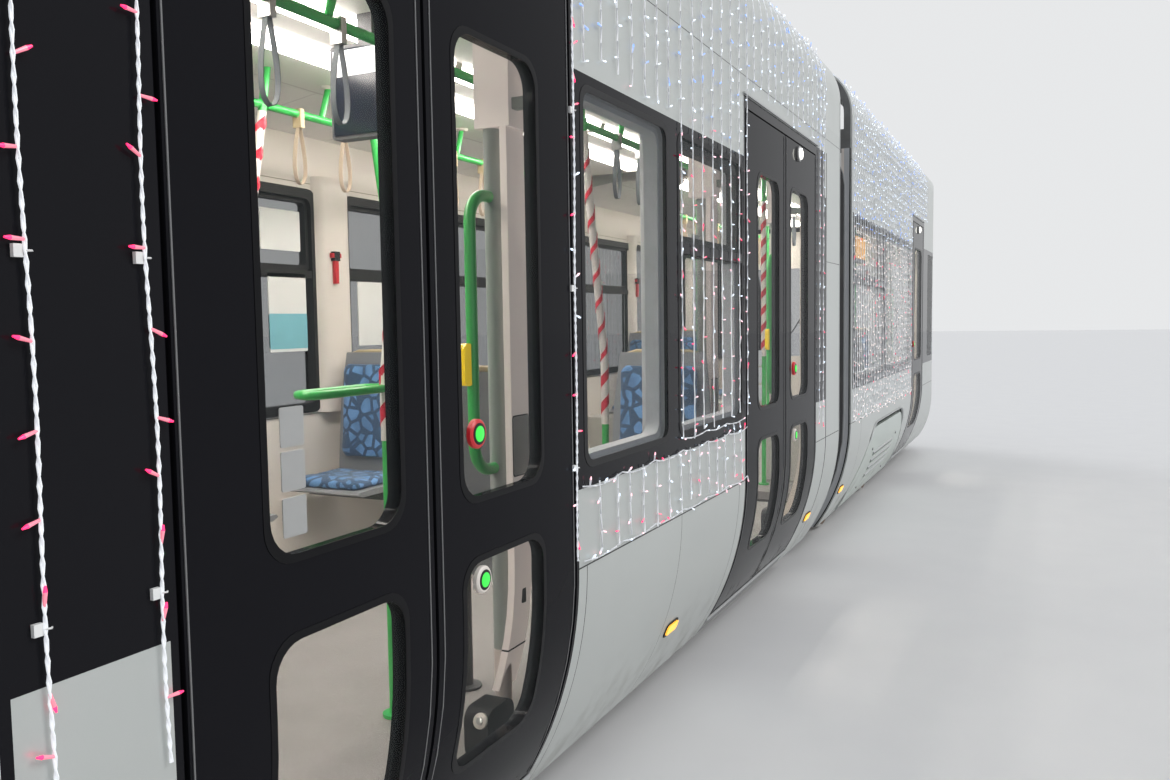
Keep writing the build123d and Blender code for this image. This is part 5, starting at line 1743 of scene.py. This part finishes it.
# Roof: grilles and fans on the equipment, and cables. Each box: start, end, half width, height
# and number of fans
FAN_RADIUS = 0.222
FAN_BLADE = ((0, 0.065, 0.0), (0.28, FAN_RADIUS * 0.93, 0.012))
FAN_BLADE += ((0.62, FAN_RADIUS * 0.93, 0.0), (0.5, 0.065, -0.010))
CABLE_Y = 0.70
CLAMP_STEP = 0.6
ROOF_UNITS = {
    "middle": [(-1.430, -1.020, 0.560, 0.150, 0)],
    "door_section": [
        (DOOR_START + 0.650, DOOR_START + 2.350, 0.700, 0.330, 3),
        (DOOR_START + 2.600, DOOR_START + 3.900, 0.640, 0.270, 0),
        (DOOR_END - 1.850, DOOR_END - 0.650, 0.700, 0.330, 2),
    ],
    "cab_section": [
        (CAB_START + 0.650, CAB_START + 1.950, 0.680, 0.330, 2),
        (CAB_START + 2.250, NOSE_START - 0.250, 0.620, 0.290, 3),
    ],
}


def grille(work, x0, x1, y0, y1, z):
    """A louvred grille lying on an equipment box."""
    work.use("alloy").ring(
        rounded(x0, y0, x1, y1, 0.02),
        rounded(x0, y0, x1, y1, 0.012, grow=-0.02),
        facing_z(z + 0.010),
        facing_z(z - 0.001),
    )
    work.use("dark_metal")
    for n in range(int((x1 - x0 - 0.05) / 0.035)):
        x = x0 + 0.035 + n * 0.035
        work.box((x, x + 0.018), (y0 + 0.019, y1 - 0.019), (z - 0.001, z + 0.006))


def fan(work, x, z):
    """A fan of seven blades under a round wire guard."""
    work.use("steel")
    for share in (0.25, 0.5, 0.75, 1.0):
        reach = FAN_RADIUS * share
        path = [(x + reach * math.cos(turn), reach * math.sin(turn), z) for turn in circle(32)]
        work.tube(path, 0.004, 6, closed=True)
    for turn in circle(12)[:6]:
        u, v = math.cos(turn) * FAN_RADIUS, math.sin(turn) * FAN_RADIUS
        work.bar((x - u, -v, z + 0.003), (x + u, v, z + 0.003), 0.004, 6)
    hub = ((0, 0.07), (0.022, 0.07), (0.030, 0.045))
    work.use("dark_metal").turned((x, 0.0, z - 0.034), UP, hub, 20)
    for turn in circle(7):
        corners = [(turn + sweep, reach, z - 0.022 + rise) for sweep, reach, rise in FAN_BLADE]
        blade = [(x + r * math.cos(t), r * math.sin(t), height) for t, r, height in corners]
        work.loft([blade, [(a, b, c - 0.003) for a, b, c in blade]])


def cable_runs(work, start, end):
    """Three cables in clamps along each side of the trough."""
    level = TROUGH_Z + 0.014
    for side in (-1, 1):
        y = side * CABLE_Y
        work.use("rubber")
        for v in (y - 0.03, y, y + 0.03):
            work.bar((start + 0.15, v, level), (end - 0.15, v, level), 0.012)
        work.use("alloy")
        for n in range(int((end - start - 0.4) / CLAMP_STEP) + 1):
            x = start + 0.2 + n * CLAMP_STEP
            work.box((x, x + 0.03), (y - 0.055, y + 0.055), (TROUGH_Z, TROUGH_Z + 0.030))


def roof_units(work, kind):
    """Fans in the wells of the equipment boxes, or two grilles on a box without fans."""
    for x0, x1, half, height, fans in ROOF_UNITS[kind]:
        top = TROUGH_Z + 0.0003 + height
        for n in range(fans):
            fan(work, x0 + (x1 - x0) * (n + 0.5) / fans, top - 0.001)
        if not fans:
            for middle in (-half / 2, half / 2):
                low, high = middle - half * 0.34, middle + half * 0.34
                grille(work, x0 + 0.08, x1 - 0.08, low, high, top)


class TRAM_OT_roof(bpy.types.Operator):
    """Add roof grilles, fans and cable runs"""

    bl_idname = "tram.roof"
    bl_label = "Roof fittings"

    def execute(self, context):
        for kind in SECTION_KINDS:
            work = Work()
            cable_runs(work, *SECTIONS[kind])
            roof_units(work, kind)
            work.build_all("roof_runs", kind)
        return {"FINISHED"}


# Bogies: coil springs and wheel bolts
BOGIES = {"middle_section": 0.0, "front_cab_section": BOGIE_X, "rear_cab_section": -BOGIE_X}
COIL_POINTS = 100
COIL_RADIUS = 0.084
COIL_FOOT = 0.515
COIL_TALL = 0.160
BOLT_CIRCLE = 0.165
BOLT_Y = 0.772


def coil(work, x, y):
    """A coil spring, with eighteen points a turn."""
    path = []
    for n in range(COIL_POINTS):
        turn = 2 * math.pi * n / 18
        u, v = COIL_RADIUS * math.cos(turn), COIL_RADIUS * math.sin(turn)
        path.append((x + u, y + v, COIL_FOOT + COIL_TALL * n / (COIL_POINTS - 1)))
    work.tube(path, 0.011, 7)


class TRAM_OT_bogies(bpy.types.Operator):
    """Add coil springs to the bogies and bolt rings to the wheels"""

    bl_idname = "tram.bogies"
    bl_label = "Bogie fittings"

    def execute(self, context):
        for body, centre in BOGIES.items():
            work = Work("dark_metal")
            for x in (centre - 0.45, centre + 0.45):
                for y in (-0.600, 0.600):
                    coil(work, x, y)
            work.build(body + "_springs", body, "frame_black")
        for row, centre in WHEELSET_X.items():
            work = Work("steel")
            for side in (-1, 1):
                for turn in circle(8):
                    u, v = BOLT_CIRCLE * math.cos(turn), BOLT_CIRCLE * math.sin(turn)
                    spot = (centre + u, side * BOLT_Y, AXLE_Z + v)
                    work.turned(spot, (0, side, 0), [(0, 0.014), (0.020, 0.014), (0.024, 0.009)], 6)
            work.build(row + "_bolts", row + "_wheelset", "wheel_steel")
        return {"FINISHED"}


# Ends: lamps behind their glasses, wipers and a blank display
LAMP_Y = 0.620
LAMP_Z = 0.860
LAMP_FRONT = 14.262
# Each lamp: how far inwards from LAMP_Y, radius and finish
LAMPS = ((0.058, 0.042, "head_lamp"), (-0.030, 0.034, "amber"), (-0.090, 0.018, "tail_lamp"))
DISPLAY = (-0.62, 2.500, 0.62, 2.720)
DISPLAY_X = 13.760
WIPER_BLADE = ((0.86, 1.32), (0.74, 1.52), (0.62, 1.72), (0.50, 1.92))
WIPER_ARM = ((0.16, 1.22), (0.30, 1.32), (0.50, 1.48), (0.68, 1.62))


def on_glass(tree, y, z, out):
    """The point of the windscreen at y and z as seen from ahead, moved outwards."""
    spot, normal, _, _ = tree.ray_cast(Vector((NOSE_TIP + 1, y, z)), Vector((-1, 0, 0)))
    if spot is None:
        raise RuntimeError("the wiper misses the windscreen")
    return spot + normal.normalized() * out * (1 if normal.x > 0 else -1)


def wiper(work, tree, side):
    """A wiper that follows the windscreen, with its pivot on the mask."""
    blade = [on_glass(tree, side * y, z, 0.010) for y, z in WIPER_BLADE]
    arm = [on_glass(tree, side * y, z, 0.020) for y, z in WIPER_ARM]
    work.use("rubber").tube(blade, 0.008, 6)
    work.use("dark_metal").tube(arm, 0.009, 8)
    foot = arm[0] - Vector((0.018, 0, 0))
    work.turned(foot, AHEAD, [(0, 0.022), (0.024, 0.022), (0.030, 0.014)], 16)


class TRAM_OT_ends(bpy.types.Operator):
    """Add lamps, wipers and a blank display to both ends"""

    bl_idname = "tram.ends"
    bl_label = "Ends"

    def execute(self, context):
        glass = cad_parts["front_cab_section_glazing"].data
        points = [vertex.co.copy() for vertex in glass.vertices]
        tree = BVHTree.FromPolygons(points, [tuple(face.vertices) for face in glass.polygons])
        work = Work()
        for side in (-1, 1):
            wiper(work, tree, side)
            for shift, radius, kind in LAMPS:
                spot = (LAMP_FRONT, side * (LAMP_Y - shift), LAMP_Z)
                bowl = [(0, radius * 0.5), (0.050, radius), (0.054, radius)]
                lens = [(0.053, radius * 0.86), (0.060, radius * 0.7)]
                work.use("steel").turned(spot, AHEAD, bowl, 24)
                work.use(kind).turned(spot, AHEAD, lens, 24)
        case = rounded(*DISPLAY, 0.03)
        work.use("rubber").prism(case, facing_x(DISPLAY_X), facing_x(DISPLAY_X - 0.060))
        depth = (DISPLAY_X - 0.002, DISPLAY_X + 0.002)
        work.use("amber").box(depth, (-0.56, 0.56), (2.545, 2.675))
        work.build_all("end_fittings", "cab_section")
        return {"FINISHED"}


# Strings of lights
WIRE_RADIUS = 0.0030
SLEEVES = {"tip_pink": "sleeve_pink", "tip_blue": "sleeve_blue"}
WIRE_STEP = 0.050
STRING_OUT = 0.009
SHOULDER_REACH = SHOULDER_RADIUS + 0.008
STRING_START = 0.02
LAMP_TURNS = (0.0, math.pi, 0.0, math.pi, 0.4, -0.4, math.pi + 0.4, math.pi - 0.4, -1.4, 1.5)
SHORT_END = BAND_Z[1] + 0.02
LOW_END = 1.215
SLEEVE_RADIUS = 0.0034
TWIST_PITCH = 0.055
TWIST_RADIUS = 0.0019
CLIP_SHARES = (0.13, 0.34, 0.52, 0.71, 0.90)


def lamp(work, dice, spot, side, kind, fine):
    """A clear sleeve that stands off the wire to one side, with a glowing tip."""
    turn = dice.choice(LAMP_TURNS)
    turn += dice.uniform(-0.15, 0.15)
    along = Vector((math.cos(turn), side * 0.10, math.sin(turn))).normalized()
    sides = 8 if fine else 4
    profile = [(0.001, 0.0024), (0.021, SLEEVE_RADIUS), (0.030, SLEEVE_RADIUS * 0.45)]
    tip = len(work.faces) + sides
    work.use(SLEEVES.get(kind, "clear_sleeve")).turned(spot, along, profile, sides)
    work.use(kind)
    # The glow goes to the faces of the tip's cone and to its end, the last face of the loft
    for n in (*range(tip, tip + sides), tip + sides + 1):
        work.marks[n] = work.mark


def clip(work, spot, side):
    """A small white hook clip, stuck to the body beside the wire."""
    x, y, z = spot
    plate = ((x - 0.016, x - 0.002), (y - side * 0.008, y - side * 0.001), (z - 0.009, z + 0.009))
    hook = ((x - 0.003, y, z), (x + 0.006, y + side * 0.005, z), (x + 0.009, y + side * 0.001, z))
    work.use("white_plate").box(*plate)
    work.tube(hook, 0.0016, 5)


def wavy(dice, points, step):
    """The points joined by a line that waves a little along the tram."""
    points = [Vector(point) for point in points]
    wave, phase = dice.uniform(0.002, 0.004), dice.uniform(0, 6)
    line, length = [], 0.0
    for a, b in zip(points, points[1:]):
        span = (b - a).length
        count = max(1, round(span / step))
        for n in range(count):
            length += span / count
            shift = wave * math.sin(length * 9 + phase)
            line.append(a.lerp(b, n / count) + Vector((shift, 0, 0)))
    return [*line, points[-1]]


def twisted(work, line):
    """Two thin wires wound round each other along a line."""
    for start in (0.0, math.pi):
        path, run = [], 0.0
        for n, spot in enumerate(line):
            run += (spot - line[n - 1]).length if n else 0.0
            turn = start + run * 2 * math.pi / TWIST_PITCH
            path.append(spot + Vector((math.cos(turn), math.sin(turn), 0)) * TWIST_RADIUS)
        work.use("wire").tube(path, TWIST_RADIUS, 6)


def string(work, dice, points, side, kinds, pitch, fine=False):
    """A wire along points with lamps every pitch; kinds names each lamp's light by its height."""
    line = wavy(dice, points, WIRE_STEP * (0.3 if fine else 1))
    if fine:
        twisted(work, line)
    else:
        work.use("wire").tube(line, WIRE_RADIUS, 3, spin=60.0)
    run, due = 0.0, dice.uniform(0.2, 0.9) * pitch
    for a, b in zip(line, line[1:]):
        run += (b - a).length
        if run >= due:
            lamp(work, dice, b, side, kinds(b.z, dice), fine)
            due += pitch * dice.uniform(0.8, 1.2)
    if fine:
        for share in CLIP_SHARES:
            clip(work, line[int(share * (len(line) - 1))], side)


def pick(*names):
    """Lamps of mixed lights, whatever their height."""
    return lambda z, dice: dice.choice(names)


red_mix = pick("tip_pink", "tip_pink", "tip_rose", "tip_cold")
rose = pick("tip_rose", "tip_rose", "tip_pink", "tip_cold")
rose_and_cold = pick("tip_rose", "tip_rose", "tip_pink", "tip_cold", "tip_cold")


# Each of these names a lamp's light from its height and the dice
def cold(z, dice):
    return "tip_blue" if dice.random() < 0.35 else "tip_cold"


def pink(z, dice):
    return "tip_pink"


def cold_then_warm(z, dice):
    if z > 2.30:
        return cold(z, dice)
    return "tip_pink" if dice.random() < 0.12 else "tip_warm"


def cold_then_pink(z, dice):
    return (cold if z > 2.44 else rose_and_cold)(z, dice)


def drop(side, x, z_end, sway=0.0):
    """Points from the roof's edge over the shoulder and down to a height."""
    points = []
    first = math.pi / 2 - STRING_START / SHOULDER_REACH
    for turn in spaced(first, 0, 8)[:-1]:
        y = SHOULDER_Y + SHOULDER_REACH * math.cos(turn)
        points.append((x, side * y, SHOULDER_Z + SHOULDER_REACH * math.sin(turn)))
    for share in spaced(0, 1, max(1, round((SHOULDER_Z - z_end) / 0.25))):
        z = SHOULDER_Z + (z_end - SHOULDER_Z) * share
        points.append((x + sway * share, side * skin_y(z, STRING_OUT), z))
    return points


def run_along(side, x0, x1, z, sag=0.02, waves=6):
    """Points of a run along the side that sags between its clips."""
    points = []
    for share in spaced(0, 1, waves * 6):
        height = z - sag * math.sin(math.pi * (share * waves % 1.0))
        points.append((x0 + (x1 - x0) * share, side * skin_y(height, 0.010), height))
    return points


def places(dice, x, end, gap, least=0.92, most=1.08):
    """Places from x up to the end, a gap apart that varies from least to most."""
    while x < end:
        yield x
        x += gap * dice.uniform(least, most)


def drop_end(side, x, near, far):
    """How far down a string of the door section reaches at x: shorter over doors and glass."""
    if side < 0:
        if x < near - 0.02 or x > far + 0.02:
            return DOOR_HEAD + 0.03
        return LOW_END if x > DOORS[1] - 0.95 else SHORT_END
    return LOW_END if int(x * 3) % 5 == 0 else SHORT_END


def panel_strings(work, dice, side, near, far, gap):
    """Beside the first door and over the side panel between the doors."""
    string(work, dice, drop(side, near, 0.975, -0.02), side, red_mix, 0.10, True)
    string(work, dice, run_along(side, near + 0.02, far, 1.190, 0.014), side, rose, 0.11)
    string(work, dice, run_along(side, near + 0.02, far, 0.965, 0.010), side, rose, 0.12)
    for x in places(dice, near + 0.14, far, gap, 0.85, 1.1):
        foot = 0.960 + dice.uniform(-0.01, 0.03)
        ends = ((x, 1.19), (x + 0.01, foot))
        points = [(u, side * skin_y(z, STRING_OUT), z) for u, z in ends]
        string(work, dice, points, side, rose, 0.09)
    low = run_along(side, DOORS[1] - 0.86, DOORS[1] - 0.04, 1.235, 0.01, 3)
    string(work, dice, low, side, rose, 0.11)


def door_section_strings(side, dice):
    """Strings of a door section; the doors and what goes with them are on the right side."""
    work = Work("wire", "clear_sleeve")
    gap = sizes().strand_gap
    near, far = DOORS[0] + DOOR_WIDTH + 0.010, DOORS[1] - 0.010
    if side < 0:
        for x in (DOOR_START + 0.470, DOOR_START + 0.663):
            string(work, dice, drop(side, x, 0.99, 0.006), side, pink, 0.115, True)
        for x in (DOORS[1] + DOOR_WIDTH + 0.07, DOORS[1] + DOOR_WIDTH + 0.17):
            string(work, dice, drop(side, x, 1.05), side, cold_then_pink, 0.10)
    for x in places(dice, DOOR_START + 0.10, DOOR_END - 0.42, gap):
        end = drop_end(side, x, near, far) + dice.uniform(0.0, 0.05)
        string(work, dice, drop(side, x, end), side, cold_then_pink, 0.088)
    if side < 0:
        panel_strings(work, dice, side, near, far, gap)
    return work


def cab_section_strings(side, dice):
    """Strings of a cab section: long ones up to the cab's door, short ones from there."""
    work = Work("wire", "clear_sleeve")
    gap = sizes().strand_gap * 0.62
    x = CAB_START + 0.06
    last = CAB_DOOR[0] - 0.06
    while x < last:
        points = drop(side, x, 0.965 + dice.uniform(0.0, 0.03))
        string(work, dice, points, side, cold_then_warm, 0.092)
        x += gap * dice.uniform(0.92, 1.08)
    points = run_along(side, CAB_START + 0.05, last, 0.962, 0.012, 12)
    string(work, dice, points, side, cold_then_warm, 0.10)
    for x in places(dice, x, NOSE_START - 0.05, gap):
        string(work, dice, drop(side, x, DOOR_HEAD + 0.03), side, cold, 0.092)
    return work


def middle_strings(side, dice):
    """Strings of the middle section: short ones over its windows."""
    work = Work("wire", "clear_sleeve")
    for x in places(dice, 0.08 - MIDDLE_END, MIDDLE_END - 0.04, sizes().strand_gap):
        end = SHORT_END + dice.uniform(0, 0.04)
        string(work, dice, drop(side, x, end), side, cold, 0.090)
    return work


class TRAM_OT_light_strings(bpy.types.Operator):
    """Hang the strings of lights over the roof's shoulders and down the sides"""

    bl_idname = "tram.light_strings"
    bl_label = "Light strings"

    def execute(self, context):
        for side, word in ((-1, "right"), (1, "left")):
            dice = random.Random(40 + side)
            door_section_strings(side, dice).build_all("lights_" + word, "door_section")
            cab_section_strings(side, dice).build_all("lights_" + word, "cab_section")
            middle_strings(side, dice).build_all("lights_" + word, "middle")
        return {"FINISHED"}


def colour(name, description, default):
    return FloatVectorProperty(name=name, description=description, subtype="COLOR", default=default)


class TramColours(bpy.types.PropertyGroup):
    """Colours that a user may change before the pieces are made"""

    silver: colour("Silver", "Body paint", (0.52, 0.54, 0.52))
    lining: colour("Lining", "Wall lining inside", (0.78, 0.72, 0.66))
    rails: colour("Rails", "Grab rails", (0.045, 0.52, 0.10))
    cushion: colour("Cushions", "Pebbles of the plush", (0.13, 0.29, 0.56))
    cold_light: colour("Cold lights", "Lamps over the roof", (0.62, 0.78, 1.0))
    pink_light: colour("Pink lights", "Lamps beside the doors", (1.0, 0.02, 0.12))
    warm_light: colour("Warm lights", "Lamps over the side panels", (1.0, 0.74, 0.68))


class TramSizes(bpy.types.PropertyGroup):
    """Sizes that a user may change before the pieces are made"""

    strand_gap: FloatProperty(
        name="Strand gap",
        description="Space between hanging strings",
        default=0.118,
        min=0.05,
        max=0.5,
        unit="LENGTH",
    )


STEPS = ("stage", "finishes", "body_trim", "door_trim", "inside", "seats", "bellows", "roof")
STEPS += ("bogies", "ends", "light_strings")


class TRAM_PT_panel(bpy.types.Panel):
    """The tram's pieces, in the order in which they are made"""

    bl_label = "Tram"
    bl_space_type = "VIEW_3D"
    bl_region_type = "UI"
    bl_category = "Tram"

    def draw(self, context):
        for step in STEPS:
            self.layout.operator("tram." + step)


CLASSES = (
    TramColours,
    TramSizes,
    TRAM_OT_stage,
    TRAM_OT_finishes,
    TRAM_OT_body_trim,
    TRAM_OT_door_trim,
    TRAM_OT_inside,
    TRAM_OT_seats,
    TRAM_OT_bellows,
    TRAM_OT_roof,
    TRAM_OT_bogies,
    TRAM_OT_ends,
    TRAM_OT_light_strings,
    TRAM_PT_panel,
)


def register():
    for kind in CLASSES:
        bpy.utils.register_class(kind)
    bpy.types.Scene.tram_colours = PointerProperty(type=TramColours)
    bpy.types.Scene.tram_sizes = PointerProperty(type=TramSizes)


def unregister():
    del bpy.types.Scene.tram_sizes
    del bpy.types.Scene.tram_colours
    for kind in reversed(CLASSES):
        bpy.utils.unregister_class(kind)


def main():
    register()
    for step in STEPS:
        getattr(bpy.ops.tram, step)()


if __name__ == "__main__":
    main()
